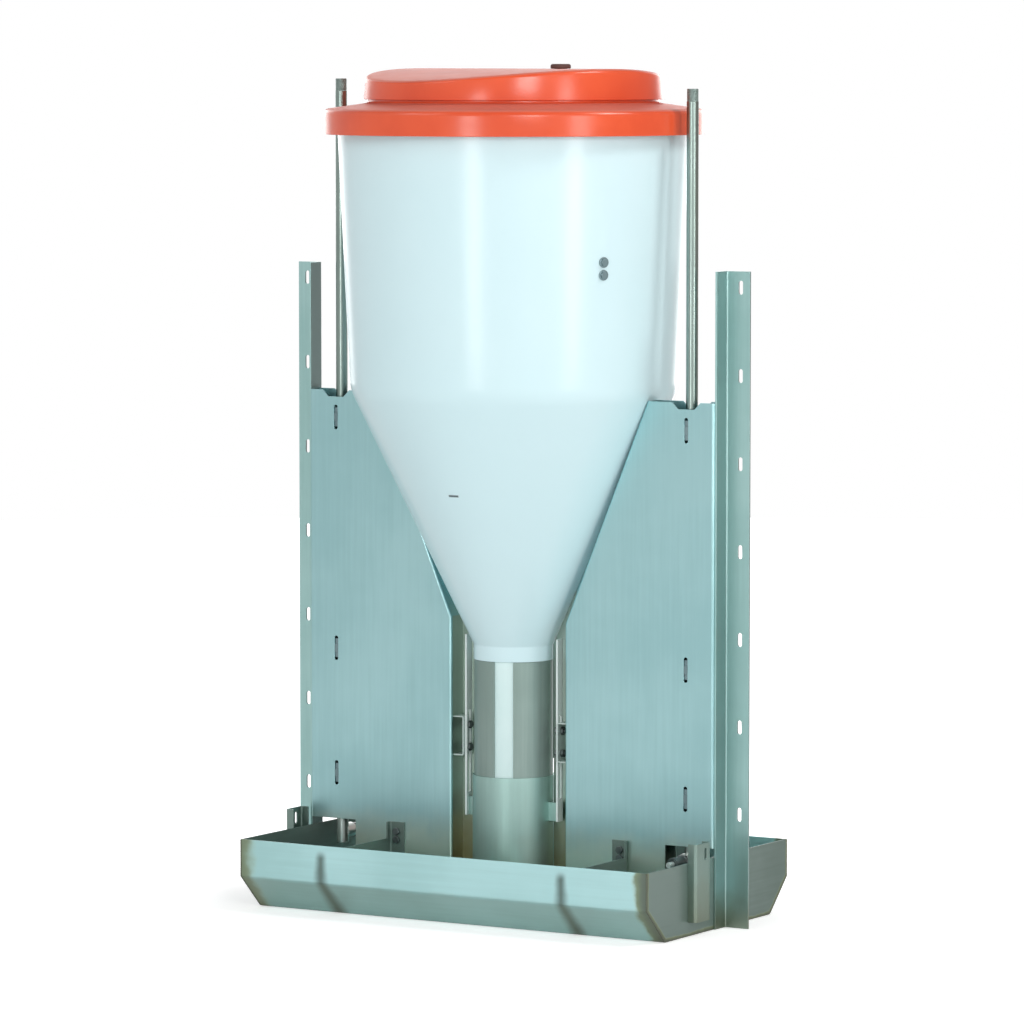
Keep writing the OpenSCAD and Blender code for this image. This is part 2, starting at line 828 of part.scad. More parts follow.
// A round block under the lid's vault, whose axis runs between the high edges
module vault_block(r, drop, low_z) {
    intersection() {
        translate([0, 0, low_z]) cylinder(r = r, h = crown_z + over - low_z);
        translate([0, 0, crown_z - vault_r]) rotate([0, 90, 0])
            cylinder(r = vault_r - drop, h = 3 * lid_r, center = true);
    }
}

module lid() {
    color(orange) rotate([0, 0, lid_turn]) difference() {
        vault_block(lid_r, 0, lid_low_z);
        vault_block(lid_r - lid_wall, lid_wall, lid_low_z - over);
        translate([plug_out, 0, lid_low_z]) cylinder(d = plug_stem_d + 2 * seat_gap, h = 2 * lid_crown_h);
    }
}

module lid_plug() {
    edge = 2.5;
    color(brown) rotate([0, 0, lid_turn]) translate([plug_out, 0, crown_z + seat_gap])
        rotate_extrude() polygon(concat(
            [[0, -2 * lid_wall], [plug_stem_d / 2, -2 * lid_wall], [plug_stem_d / 2, 0], [plug_d / 2, 0]],
            corner_arc([plug_d / 2, 0], [plug_d / 2, plug_h], [0, plug_h], edge, bend_steps),
            [[0, plug_h]]
        ));
}

trough_shell();
mirror_left() trough_end();  // trough_end_left
trough_end();  // trough_end_right
mirror_left() divider();  // divider_front_left
divider();  // divider_front_right
turn_left() divider();  // divider_back_left
mirror([0, 1, 0]) divider();  // divider_back_right
divider_bolts();
divider_nuts();
mirror_left() partition_bracket(bracket_left_y);  // partition_bracket_left
partition_bracket(bracket_right_y);  // partition_bracket_right
mirror_left() post();  // post_left
post();  // post_right
mirror_left() panel();  // left_panel
panel();  // right_panel
mirror_left() pipe_clips();  // pipe_clips_left
pipe_clips();  // pipe_clips_right
turn_left() water_pipe(pipe_left_top_z);  // water_pipe_left
water_pipe(pipe_right_top_z);  // water_pipe_right
turn_left() nipple_body();  // nipple_body_left
nipple_body();  // nipple_body_right
turn_left() nipple_pin();  // nipple_pin_left
nipple_pin();  // nipple_pin_right
hopper();
hopper_bolts();
hopper_nuts();
drop_tube();
guide_tube();
feed_sleeve();
mirror_left() strap();  // strap_left
strap();  // strap_right
mirror_left() strap_keeper();  // strap_keeper_left
strap_keeper();  // strap_keeper_right
keeper_bolts();
keeper_nuts();
lid_ring();
lid();
lid_plug();
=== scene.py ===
# %% [markdown]
# # Dressing a pig feeder
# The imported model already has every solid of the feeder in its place: trough, partition, water pipes,
# hopper, feed tube and lid. This lesson gives those solids their looks. Sheet steel gets soft edges and a
# mill finish, the moulded hopper and lid are turned again with fine rounds, and the small things that a
# solid model leaves out, such as weld beads and pipe threads, follow their paths in Geometry Nodes.
# All lengths are metres, with +X to the right along the trough, +Y to the back and +Z up.

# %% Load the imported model
import math

import bmesh
import bpy
from mathutils import Matrix, Vector


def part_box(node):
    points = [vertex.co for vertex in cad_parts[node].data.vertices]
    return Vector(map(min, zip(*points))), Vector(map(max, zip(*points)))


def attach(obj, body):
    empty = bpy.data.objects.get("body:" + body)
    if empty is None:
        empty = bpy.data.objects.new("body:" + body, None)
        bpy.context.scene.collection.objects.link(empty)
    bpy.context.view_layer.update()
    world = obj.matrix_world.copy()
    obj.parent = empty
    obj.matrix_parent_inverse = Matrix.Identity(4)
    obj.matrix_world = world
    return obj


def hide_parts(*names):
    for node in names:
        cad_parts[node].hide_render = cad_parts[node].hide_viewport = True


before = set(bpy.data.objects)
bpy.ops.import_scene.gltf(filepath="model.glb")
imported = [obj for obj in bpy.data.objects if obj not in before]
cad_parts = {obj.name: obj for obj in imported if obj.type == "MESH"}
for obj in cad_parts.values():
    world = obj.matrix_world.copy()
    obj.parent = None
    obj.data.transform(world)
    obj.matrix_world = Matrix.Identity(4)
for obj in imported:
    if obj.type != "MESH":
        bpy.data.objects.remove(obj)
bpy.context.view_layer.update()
scene = bpy.context.scene
MM = 0.001
SIDES = ("left", "right")

# %% [markdown]
# ## Camera
# The photograph was taken from the right of the trough's front, a little above the middle of the feeder,
# with a long lens: upright edges stay upright and the far end of the trough is hardly smaller. A camera
# could be set by hand until it looks right, but an angle, a distance and a height say what was measured,
# and a Track To constraint isn't needed when the direction is turned into a rotation once.

# %% Camera at the photograph's angle
CAMERA_TURN = math.radians(31)
CAMERA_DISTANCE = 8.24
CAMERA_HEIGHT = 1.25
CAMERA_TARGET = Vector((-0.0022, -0.0013, 0.581))
CAMERA_LENS = 200.8

camera_data = bpy.data.cameras.new("photo_camera")
camera_data.lens = CAMERA_LENS
camera_data.sensor_width = 36
camera_data.clip_end = 100
camera = bpy.data.objects.new("photo_camera", camera_data)
camera.location = (CAMERA_DISTANCE * math.sin(CAMERA_TURN), -CAMERA_DISTANCE * math.cos(CAMERA_TURN),
                   CAMERA_HEIGHT)
camera.rotation_euler = (CAMERA_TARGET - camera.location).to_track_quat("-Z", "Y").to_euler()
scene.collection.objects.link(camera)
scene.camera = camera
scene.view_settings.view_transform = "Standard"
print("camera", [round(v, 3) for v in camera.location], "lens", CAMERA_LENS)

# %% [markdown]
# ## Node helpers
# Every finish, the floor and the room are small trees of nodes, and a tree reads best when a step is one
# line. The first helper fills a node's inputs, the second adds a node, and the others are the steps that
# come back most. A node and its sockets know the tree they are in (id_data), so the steps needn't be told.

# %% Helpers for node trees
def fill(node, inputs):
    """Fill a node's inputs: a socket is linked, any other value is set."""
    for key, value in dict(inputs).items():
        if isinstance(value, bpy.types.NodeSocket):
            node.id_data.links.new(value, node.inputs[key])
        else:
            node.inputs[key].default_value = value


def wire(tree, kind, inputs=(), **settings):
    """Add a node to a tree, with its settings and inputs."""
    node = tree.nodes.new(kind)
    for name, value in settings.items():
        setattr(node, name, value)
    fill(node, inputs)
    return node


def parts(vector):
    """The X, Y and Z of a vector."""
    return wire(vector.id_data, "ShaderNodeSeparateXYZ", {"Vector": vector}).outputs


def noise(place, scale, detail=3.0, stretch=None):
    """A noise value from 0 to 1, on coordinates that may be stretched."""
    if stretch:
        stretched = wire(place.id_data, "ShaderNodeMapping", {"Vector": place, "Scale": stretch})
        place = stretched.outputs["Vector"]
    cloud = wire(place.id_data, "ShaderNodeTexNoise",
                 {"Vector": place, "Scale": scale, "Detail": detail})
    return cloud.outputs["Fac"]


def remap(value, low, high, to_low=0.0, to_high=1.0):
    """A value moved smoothly from one range to another and held inside it."""
    return wire(value.id_data, "ShaderNodeMapRange",
                {"Value": value, "From Min": low, "From Max": high, "To Min": to_low, "To Max": to_high},
                interpolation_type="SMOOTHSTEP").outputs["Result"]


def sums(operation, first, second=0.0):
    """One arithmetic step on two values, of which one may be a plain number."""
    tree = (first if isinstance(first, bpy.types.NodeSocket) else second).id_data
    return wire(tree, "ShaderNodeMath", {0: first, 1: second}, operation=operation).outputs["Value"]


def times(first, *others):
    """A product of values."""
    for other in others:
        first = sums("MULTIPLY", first, other)
    return first


def blended(share, first, second):
    """A colour between two colours."""
    return wire(share.id_data, "ShaderNodeMix", {0: share, 6: first, 7: second}, data_type="RGBA").outputs[2]


print("helpers ready")

# %% [markdown]
# ## White ground
# The feeder stood on white ground with only a soft shadow under it. A plain white plane would turn grey in
# this light, so the floor glows: fully for the camera, weakly in reflections, and less near the feeder,
# where its shadow shows.

# %% White floor
FLOOR_RADIUS = 7.0
FLOOR_GREY = (0.90, 0.90, 0.90, 1)
GLOW_NEAR = 0.42
GLOW_FAR = 0.95
GLOW_RANGE = (0.38, 0.70)
MIRRORED_GLOW = 0.15
WHITE = (1.0, 1.0, 1.0, 1)

floor_mesh = bpy.data.meshes.new("floor")
floor_work = bmesh.new()
bmesh.ops.create_circle(floor_work, cap_ends=True, segments=96, radius=FLOOR_RADIUS)
floor_work.to_mesh(floor_mesh)
floor_work.free()
floor = bpy.data.objects.new("floor", floor_mesh)
floor.location.z = -0.5 * MM
scene.collection.objects.link(floor)
floor_paint = bpy.data.materials.new("floor_paint")
floor_paint.use_nodes = True
tree = floor_paint.node_tree
place = wire(tree, "ShaderNodeTexCoord").outputs["Object"]
away = wire(tree, "ShaderNodeVectorMath", {0: place}, operation="LENGTH").outputs["Value"]
glow = remap(away, *GLOW_RANGE, GLOW_NEAR, GLOW_FAR)
ray = wire(tree, "ShaderNodeLightPath").outputs
mirrored = times(ray["Is Glossy Ray"], MIRRORED_GLOW)
seen = sums("MAXIMUM", ray["Is Camera Ray"], mirrored)
fill(tree.nodes["Principled BSDF"], {
    "Base Color": FLOOR_GREY, "Roughness": 0.9, "Specular IOR Level": 0.0,
    "Emission Color": WHITE, "Emission Strength": times(glow, seen)})
floor_mesh.materials.append(floor_paint)
print("floor of radius", FLOOR_RADIUS)

# %% [markdown]
# ## Room
# Steel has no colour of its own: it looks like the room. A room that is white all round makes every face
# equally pale, so this one is dimmer and warmer to the right and behind, dim overhead, and bright at one
# spot behind on the left, which gives the lid's top its sheen. What the camera sees of the room is pure
# white all the same. A picture of a room could do this too, but three directions can be read and changed.

# %% Room light, dim to the right, behind and overhead
DARK_SIDE = (0.80, 0.60, 0.0)
DARK_RANGE = (0.40, 0.90)
PALE_SIDE = (-0.51, 0.86, 0.0)
PALE_RANGE = (0.80, 0.98)
CEILING_RANGE = (0.30, 0.85)
ROOM_BRIGHT = 0.65
ROOM_DARK = 0.40
ROOM_PALE = 2.35
CEILING = 0.45
WARM = (1.0, 0.84, 0.80, 1)

world = bpy.data.worlds.new("studio")
scene.world = world
world.use_nodes = True
room = world.node_tree
room.nodes.clear()
aim = wire(room, "ShaderNodeTexCoord").outputs["Generated"]


def towards(side):
    """How nearly a direction in the room points to a side, from -1 to 1."""
    return wire(room, "ShaderNodeVectorMath", {0: aim, 1: side}, operation="DOT_PRODUCT").outputs["Value"]


to_dark = towards(DARK_SIDE)
shade = remap(to_dark, *DARK_RANGE, ROOM_BRIGHT, ROOM_DARK)
shade = sums("ADD", shade, remap(towards(PALE_SIDE), *PALE_RANGE, 0.0, ROOM_PALE))
shade = times(shade, remap(parts(aim)["Z"], *CEILING_RANGE, 1.0, CEILING))
tone = blended(remap(to_dark, *DARK_RANGE), WHITE, WARM)
lit = wire(room, "ShaderNodeBackground", {"Color": tone, "Strength": shade})
seen = wire(room, "ShaderNodeBackground", {"Color": WHITE, "Strength": 1.0})
ray = wire(room, "ShaderNodeLightPath").outputs["Is Camera Ray"]
either = wire(room, "ShaderNodeMixShader", {0: ray, 1: lit.outputs[0], 2: seen.outputs[0]})
wire(room, "ShaderNodeOutputWorld", {"Surface": either.outputs[0]})
print("room from", ROOM_DARK, "to", ROOM_BRIGHT)

# %% [markdown]
# ## Lamps
# Five soft boxes stand round the feeder, as in a photographer's studio: tall ones where drum and pipes show
# an upright line of light, and square ones where faces only get brighter.

# %% Soft boxes
def soft_box(name, place, target, width, height, power):
    """A rectangular area light that looks at a point."""
    data = bpy.data.lights.new(name, "AREA")
    data.shape = "RECTANGLE"
    data.size = width
    data.size_y = height
    data.energy = power
    light = bpy.data.objects.new(name, data)
    light.location = place
    light.rotation_euler = (Vector(target) - Vector(place)).to_track_quat("-Z", "Y").to_euler()
    scene.collection.objects.link(light)
    print(name, power, "W")


soft_box("key_left", (-2.6, -3.8, 4.2), (0, 0, 0.4), 2.4, 2.4, 34)
soft_box("front_tall", (0.40, -4.6, 0.95), (0, 0, 0.8), 0.8, 1.7, 25)
soft_box("right_tall", (3.6, -1.3, 1.1), (0, 0, 0.9), 0.7, 1.7, 21)
soft_box("right_high", (3.0, -3.5, 2.2), (0, 0, 1.2), 1.2, 1.0, 42)
soft_box("right_side", (2.9, 0.5, 3.6), (0, 0, 1.0), 1.0, 1.0, 48)

# %% [markdown]
# ## Mill-finish stainless steel
# Panels, posts and trough are folded from sheet as it comes from the mill: satin, with a fine grain along
# the rolling direction, faint smudges from hands and gloves, and a cool, slightly green cast in this light.
# A metallic shader gives the reflections, and three noises do the rest: a long stretched one is the grain, a
# soft one is the smudges, and a fine one adds to the bump. They read Object coordinates, because every piece
# sits at the origin in real metres, so a grain has one scale everywhere.

# %% Steel finishes
UPRIGHT_GRAIN = (24, 24, 0.8)


def new_finish(name):
    """A material with its shader and its Object coordinates."""
    finish = bpy.data.materials.new(name)
    finish.use_nodes = True
    tree = finish.node_tree
    return finish, tree.nodes["Principled BSDF"], wire(tree, "ShaderNodeTexCoord").outputs["Object"]


def bumped(shader, height, strength, distance):
    """Roughen a shader's normal by a height."""
    bump = wire(shader.id_data, "ShaderNodeBump",
                {"Height": height, "Strength": strength, "Distance": distance})
    fill(shader, {"Normal": bump.outputs["Normal"]})


def mill_steel(name, pale, dull, rough, metallic=1.0, relief=0.07, grain=UPRIGHT_GRAIN):
    """Stainless sheet with a grain along one axis; returns what a special finish builds on."""
    finish, shader, place = new_finish(name)
    streaks = noise(place, 9.0, 4.0, grain)
    smudges = noise(place, 4.0, 4.0)
    fine = noise(place, 260.0, 2.0)
    cloud = sums("ADD", times(streaks, 0.18), times(smudges, 0.82))
    colour = blended(remap(cloud, 0.36, 0.66), dull, pale)
    roughness = remap(cloud, 0.3, 0.7, rough + 0.07, rough - 0.05)
    fill(shader, {"Base Color": colour, "Metallic": metallic, "Roughness": roughness})
    height = sums("ADD", streaks, times(fine, 0.4))
    bumped(shader, height, relief, 0.0003)
    return finish, shader, place, colour


tube_steel = mill_steel("tube_steel", (0.35, 0.45, 0.42, 1), (0.26, 0.35, 0.32, 1), 0.46, 0.6)[0]
# The straps' steel is near white: painted light for straps that stand in shade.
zinc_steel = mill_steel("zinc_steel", (0.86, 0.94, 0.92, 1), (0.78, 0.87, 0.85, 1), 0.50, 0.1)[0]
bolt_steel = mill_steel("bolt_steel", (0.26, 0.35, 0.37, 1), (0.18, 0.26, 0.28, 1), 0.42, 0.8)[0]
bright_steel = mill_steel("bright_steel", (0.56, 0.66, 0.63, 1), (0.46, 0.56, 0.53, 1), 0.42, 0.45)[0]
print("four plain steel finishes")

# %% [markdown]
# ## Dust, painted shade and painted light on the panels
# A feeder is never clean low down. The strip of sheet beside the feed tube is a recess and gets a dark dusty
# colour, partly feed dust and partly painted shade, which turns to a brown paste of feed near the floor, and
# the panels just over the trough are painted paler, a painted light against the trough's shade. Both follow
# from where a point is, so no texture is needed: a blend fades upwards with an uneven edge, and the dark strip
# lies no farther out than the panels' inner ends, behind their front bend and in front of their back.

# %% Panel steel
PANEL_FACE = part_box("right_panel")[1].y
INNER_END = 96 * MM
BEHIND_BEND = -13 * MM
DUST_AND_SHADE = (0.43, 0.53, 0.47, 1)
PAINTED_LIGHT_LOW = (0.80, 0.86, 0.70, 1)
WET_FEED = (0.39, 0.34, 0.20, 1)
# The olive colour below is dirt on the sleeve and brackets, and painted shade on the trough's slanted walls.
FILM_AND_SHADE = (0.24, 0.25, 0.17, 1)


def ragged(place, most, scale=42.0, detail=4.0):
    """A value of up to half of most to either side, for an uneven edge."""
    return times(sums("SUBTRACT", noise(place, scale, detail), 0.5), most)


def blended_low(place, colour, low, high, most, low_colour=FILM_AND_SHADE):
    """A colour blended into a second colour, fully below one height and not at all above another."""
    height = sums("ADD", parts(place)["Z"], ragged(place, 0.6 * (high - low), 26.0, 5.0))
    return blended(remap(height, low, high, most, 0.0), colour, low_colour)


panel_steel, shader, place, colour = mill_steel(
    "panel_steel", (0.44, 0.70, 0.72, 1), (0.36, 0.60, 0.62, 1), 0.36)
where = parts(place)
out_x = sums("ABSOLUTE", where["X"])
inside = remap(out_x, INNER_END + 0.2 * MM, INNER_END + 0.6 * MM, 1.0, 0.0)
behind = remap(where["Y"], BEHIND_BEND - 1 * MM, BEHIND_BEND + 1 * MM)
in_gap = remap(where["Y"], PANEL_FACE - 0.6 * MM, PANEL_FACE - 0.2 * MM, 1.0, 0.0)
hidden = times(inside, behind, in_gap)
# The recess strip beside the feed tube is partly feed dust and partly painted shade.
strip_dust_and_shade = blended_low(place, DUST_AND_SHADE, 60 * MM, 190 * MM, 0.9, WET_FEED)
# Just over the trough the panels are painted paler: painted light that lifts the trough's shade.
panels_lit_low = blended_low(place, colour, 80 * MM, 145 * MM, 0.65, PAINTED_LIGHT_LOW)
fill(shader, {"Base Color": blended(hidden, panels_lit_low, strip_dust_and_shade)})
print("panel steel of", len(shader.id_data.nodes), "nodes")

# %% [markdown]
# ## Dirty and oiled steel, with painted shade and a painted highlight
# Wet feed leaves an olive film on the sleeve and the brackets, and the posts are darker towards the floor. The
# posts' side legs are painted darker than their faces, as painted shade, and the direction of a face tells
# them apart. The lower ends of the pipes are painted pale, a painted highlight, and the pipes' thread is dark
# with oil, where a value stored on the mesh says so.

# %% Sleeve, post, bracket and pipe steel
PAINTED_HIGHLIGHT = (0.86, 0.92, 0.88, 1)
SHADED_LEG = (0.28, 0.36, 0.35, 1)
OIL = (0.17, 0.21, 0.20, 1)


def facing(shader):
    """The X, Y and Z of the direction in which a face looks."""
    return parts(wire(shader.id_data, "ShaderNodeNewGeometry").outputs["Normal"])


sleeve_steel, shader, place, colour = mill_steel(
    "sleeve_steel", (0.45, 0.66, 0.61, 1), (0.38, 0.56, 0.52, 1), 0.42, 0.85)
fill(shader, {"Base Color": blended_low(place, colour, 20 * MM, 150 * MM, 0.50)})

post_steel, shader, place, colour = mill_steel(
    "post_steel", (0.46, 0.70, 0.68, 1), (0.36, 0.58, 0.56, 1), 0.38)
# The side legs, the faces that look along X, are painted darker: painted shade.
sideways = sums("ABSOLUTE", facing(shader)["X"])
dulled = blended(remap(sideways, 0.5, 0.9, 0.0, 0.9), colour, SHADED_LEG)
# Darker towards the floor.
fill(shader, {"Base Color": blended_low(place, dulled, 0.0, 70 * MM, 0.75)})

bracket_steel, shader, place, colour = mill_steel(
    "bracket_steel", (0.28, 0.38, 0.34, 1), (0.21, 0.29, 0.26, 1), 0.40)
fill(shader, {"Base Color": blended_low(place, colour, 10 * MM, 110 * MM, 0.60)})

pipe_steel, shader, place, colour = mill_steel(
    "pipe_steel", (0.33, 0.41, 0.38, 1), (0.23, 0.30, 0.27, 1), 0.30, 1.0, 0.02)
oily = wire(shader.id_data, "ShaderNodeAttribute", attribute_name="oiled").outputs["Fac"]
oiled_colour = blended(oily, colour, OIL)
# The pipes' lower ends are painted pale: a painted highlight.
fill(shader, {"Base Color": blended_low(place, oiled_colour, 90 * MM, 160 * MM, 0.90, PAINTED_HIGHLIGHT)})
print("four steel finishes with film or oil")

# %% [markdown]
# ## Heat tint on the trough
# Where the trough's ends were welded, the sheet has run through straw and olive brown to nearly black,
# strongly at the right end and faintly at the left. The dividers' welds show through the front as soft grey
# bands. The tint could be painted on a texture, but it simply follows the distance to a weld, and on the shell
# the welds lie at a fixed |X|, so the distance is one subtraction. A noise makes the edge of the tint uneven,
# and a colour ramp gives the run of colours. The slanted walls low down are darkened with the film colour:
# painted shade, as they face down.

# %% Trough steel
LENGTHWISE_GRAIN = (0.8, 24, 24)
TROUGH_END_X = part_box("trough_end_right")[1].x
TROUGH_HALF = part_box("trough_shell")[1].y
TROUGH_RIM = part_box("trough_shell")[1].z
DIVIDER_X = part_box("divider_front_right")[1].x - 1 * MM
FLOOR_HALF = 154 * MM
BEND_Z = 50 * MM
MIDDLE = (-0.1, 0.1)
TINT_RIGHT = 30 * MM
TINT_LEFT = 36 * MM
TINT_SEAM = 14 * MM
HEAT_LEFT = 0.50
SOOT = (0.10, 0.135, 0.115, 1)


def heat_tint(sheet_colour, heat):
    """The colour of a sheet by how hot it became, from 0 to 1."""
    tint = wire(heat.id_data, "ShaderNodeValToRGB", {"Fac": heat})
    straw, burnt = tint.color_ramp.elements
    straw.position = 0.12
    straw.color = (0.44, 0.53, 0.36, 1)
    burnt.position = 0.95
    burnt.color = (0.12, 0.13, 0.09, 1)
    for spot, colour in ((0.38, (0.24, 0.28, 0.16, 1)), (0.70, (0.17, 0.20, 0.12, 1))):
        tint.color_ramp.elements.new(spot).color = colour
    return blended(remap(heat, 0.04, 0.5, 0.0, 0.9), sheet_colour, tint.outputs["Color"])


trough_steel, shader, place, sheet_colour = mill_steel(
    "trough_steel", (0.53, 0.82, 0.83, 1), (0.43, 0.69, 0.69, 1), 0.37, 0.85, grain=LENGTHWISE_GRAIN)
across = parts(place)
out_x = sums("ABSOLUTE", across["X"])
reach = remap(across["X"], *MIDDLE, TINT_LEFT, TINT_RIGHT)
to_end = sums("DIVIDE", sums("SUBTRACT", TROUGH_END_X, out_x), reach)
end_heat = remap(sums("ADD", to_end, ragged(place, 0.6)), 0.0, 1.0, 1.0, 0.0)
end_heat = times(end_heat, remap(across["X"], *MIDDLE, HEAT_LEFT, 1.0))
to_seam = sums("ADD", sums("ABSOLUTE", sums("SUBTRACT", out_x, DIVIDER_X)), ragged(place, 5 * MM))
wider = remap(across["Z"], 0.0, TROUGH_RIM, 1.5 * TINT_SEAM, 0.8 * TINT_SEAM)
seam = remap(sums("DIVIDE", to_seam, wider), 0.0, 1.0, 0.85, 0.0)
below_rim = remap(across["Z"], TROUGH_RIM - 5 * MM, TROUGH_RIM - 20 * MM)
tinted = heat_tint(sheet_colour, end_heat)
sooty = blended(times(seam, below_rim), tinted, SOOT)
# The slanted walls low down get the film colour: painted shade.
fill(shader, {"Base Color": blended_low(place, sooty, BEND_Z - 6 * MM, BEND_Z + 4 * MM, 0.38)})
print("heat tint over", TINT_RIGHT, "m at the right end and", TINT_LEFT, "m at the left end")

# %% [markdown]
# ## Heat tint on the plates
# On an end plate or a divider the weld is its outline, so the distance is the least of those to the wall,
# the slanted wall and the floor.

# %% Plate steel
CROSSWISE_GRAIN = (24, 0.8, 24)
TINT_PLATE = 8 * MM

# The plate steel is a much darker copy of the trough's steel: painted shade on the plates' faces.
plate_steel, shader, place, sheet_colour = mill_steel(
    "plate_steel", (0.21, 0.28, 0.255, 1), (0.155, 0.215, 0.19, 1), 0.42, 0.65, grain=CROSSWISE_GRAIN)
across = parts(place)
out_y = sums("ABSOLUTE", across["Y"])
slant_run = TROUGH_HALF - FLOOR_HALF
slant = math.hypot(slant_run, BEND_Z)
to_foot = sums("SUBTRACT", FLOOR_HALF, out_y)
to_slant = sums("ADD", times(to_foot, BEND_Z / slant), times(across["Z"], slant_run / slant))
to_wall = sums("SUBTRACT", TROUGH_HALF, out_y)
to_weld = sums("MINIMUM", sums("MINIMUM", to_wall, to_slant), across["Z"])
heat = remap(sums("ADD", to_weld, ragged(place, 6 * MM)), 0.0, TINT_PLATE, 1.0, 0.0)
fill(shader, {"Base Color": heat_tint(sheet_colour, heat)})
print("heat tint over", TINT_PLATE, "m along the plates' outline")

# %% [markdown]
# ## White plastic
# The hopper is moulded in white plastic: glossy, with a faint orange peel, and cool in this light. Gloss
# needs an even, low roughness with small changes, so a fine noise sets the peel and a soft one sets the
# scuffs. The hopper's front also has a short dark slit-like mark on the cone, which is a mask on Object
# coordinates.

# %% Hopper and tube plastic
MARK_Z = 615 * MM
MARK = (0.10, 0.14, 0.15, 1)


def moulded(name, pale, deep, rough, peel, cloud_scale):
    """Glossy plastic with a fine peel and soft changes of colour and gloss."""
    finish, shader, place = new_finish(name)
    cloud = noise(place, cloud_scale, 4.0)
    scuff = noise(place, 38.0, 6.0, (1.0, 1.0, 2.5))
    colour = blended(remap(cloud, 0.35, 0.65), deep, pale)
    worn = sums("ADD", times(cloud, 0.4), times(scuff, 0.6))
    roughness = remap(worn, 0.38, 0.66, rough, rough + 0.05)
    fill(shader, {"Base Color": colour, "Roughness": roughness})
    bumped(shader, noise(place, 420.0, 2.0), peel, 0.0002)
    return finish, shader, place, colour


hopper_plastic, shader, place, white = moulded(
    "hopper_plastic", (0.66, 0.85, 0.89, 1), (0.63, 0.83, 0.87, 1), 0.20, 0.02, 2.0)
where = parts(place)
off_middle = sums("ABSOLUTE", where["X"])
off_height = sums("ABSOLUTE", sums("SUBTRACT", where["Z"], MARK_Z))
mark_wide = remap(off_middle, 7 * MM, 9 * MM, 1.0, 0.0)
mark_high = remap(off_height, 1 * MM, 2 * MM, 1.0, 0.0)
mark_front = remap(where["Y"], -30 * MM, -10 * MM, 1.0, 0.0)
mark = times(mark_wide, mark_high, mark_front)
fill(shader, {"Base Color": blended(mark, white, MARK)})

tube_plastic = moulded("tube_plastic", (0.70, 0.88, 0.87, 1), (0.65, 0.84, 0.83, 1), 0.34, 0.10, 9.0)[0]
print("hopper and tube plastic")

# %% [markdown]
# ## Orange plastic
# Lid and ring are the same kind of plastic dyed orange, scuffed where hands grip them. The faces that look
# upwards are duller, because fine dust settles on a lid, and a little greyer, which is a painted sheen.

# %% Lid and ring plastic
LID_SHEEN_GREY = (0.50, 0.50, 0.48, 1)
LID_SHEEN_SHARE = 0.20
LID_DULLING = 0.30

orange_plastic, shader, place, orange = moulded(
    "orange_plastic", (0.80, 0.105, 0.036, 1), (0.72, 0.084, 0.028, 1), 0.20, 0.05, 8.0)
facing_up = remap(facing(shader)["Z"], 0.55, 0.95)
gloss = shader.inputs["Roughness"].links[0].from_socket
dulled = sums("ADD", gloss, times(facing_up, LID_DULLING))
# The grey on the upward faces is a painted sheen.
painted_sheen = blended(times(facing_up, LID_SHEEN_SHARE), orange, LID_SHEEN_GREY)
fill(shader, {"Base Color": painted_sheen, "Roughness": dulled})
print("orange plastic of", len(shader.id_data.nodes), "nodes")

# %% [markdown]
# ## Rubber and dark steel
# The lid's plug is brown rubber, dull and mottled. The nipples' barrels and most bolts and nuts are dark
# steel, mottled the same way, with a roughness that changes as old plating does.

# %% Plug rubber and dark steel
plug_rubber, shader, place = new_finish("plug_rubber")
mottled = blended(noise(place, 90.0, 5.0), (0.085, 0.036, 0.030, 1), (0.15, 0.068, 0.056, 1))
fill(shader, {"Base Color": mottled, "Roughness": 0.62})
bumped(shader, noise(place, 900.0, 3.0), 0.25, 0.0003)

dark_steel, shader, place = new_finish("dark_steel")
mottled = blended(noise(place, 120.0, 5.0), (0.10, 0.12, 0.12, 1), (0.20, 0.23, 0.23, 1))
roughness = remap(noise(place, 60.0, 3.0), 0.3, 0.7, 0.34, 0.52)
fill(shader, {"Base Color": mottled, "Metallic": 1.0, "Roughness": roughness})
bumped(shader, noise(place, 1500.0, 2.0), 0.15, 0.0002)
print("rubber and dark steel")

# %% [markdown]
# ## Soft edges for folded sheet
# Cut sheet has a small burr-free edge that catches light, and a solid model has perfectly sharp ones. The
# pieces could be modelled again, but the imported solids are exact, so each is copied, its loose triangles
# are merged, flat faces are joined, and a Bevel modifier rounds every sharp edge by a fraction of a
# millimetre. The result is baked to a plain mesh that stands for the solid.

# %% Copying and softening a solid
CUT_EDGE = 0.35 * MM
LOOSE = 0.01 * MM
FLAT = math.radians(0.5)
FOLD = math.radians(20)
SHARP = math.radians(32)
HARD_LINE = 40


def bake(source):
    """Turn an object with modifiers into a plain mesh and remove the object."""
    graph = bpy.context.evaluated_depsgraph_get()
    mesh = bpy.data.meshes.new_from_object(source.evaluated_get(graph), preserve_all_data_layers=True,
                                           depsgraph=graph)
    bpy.data.objects.remove(source)
    return mesh


def shade_by_angle(mesh, limit=HARD_LINE):
    """Smooth shading, with a hard line wherever two faces meet at more than a limit in degrees."""
    mesh.shade_smooth()
    mesh.set_sharp_from_angle(angle=math.radians(limit))


def place_piece(name, mesh, finish, *nodes, body="feeder", slot="stainless"):
    """Link a finished mesh, on its body and in place of its solids."""
    mesh.name = name
    mesh.materials.clear()
    mesh.materials.append(finish)
    piece = bpy.data.objects.new(name, mesh)
    scene.collection.objects.link(piece)
    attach(piece, body)
    if nodes:
        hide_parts(*nodes)
    print(name, len(mesh.polygons), "faces on", body)


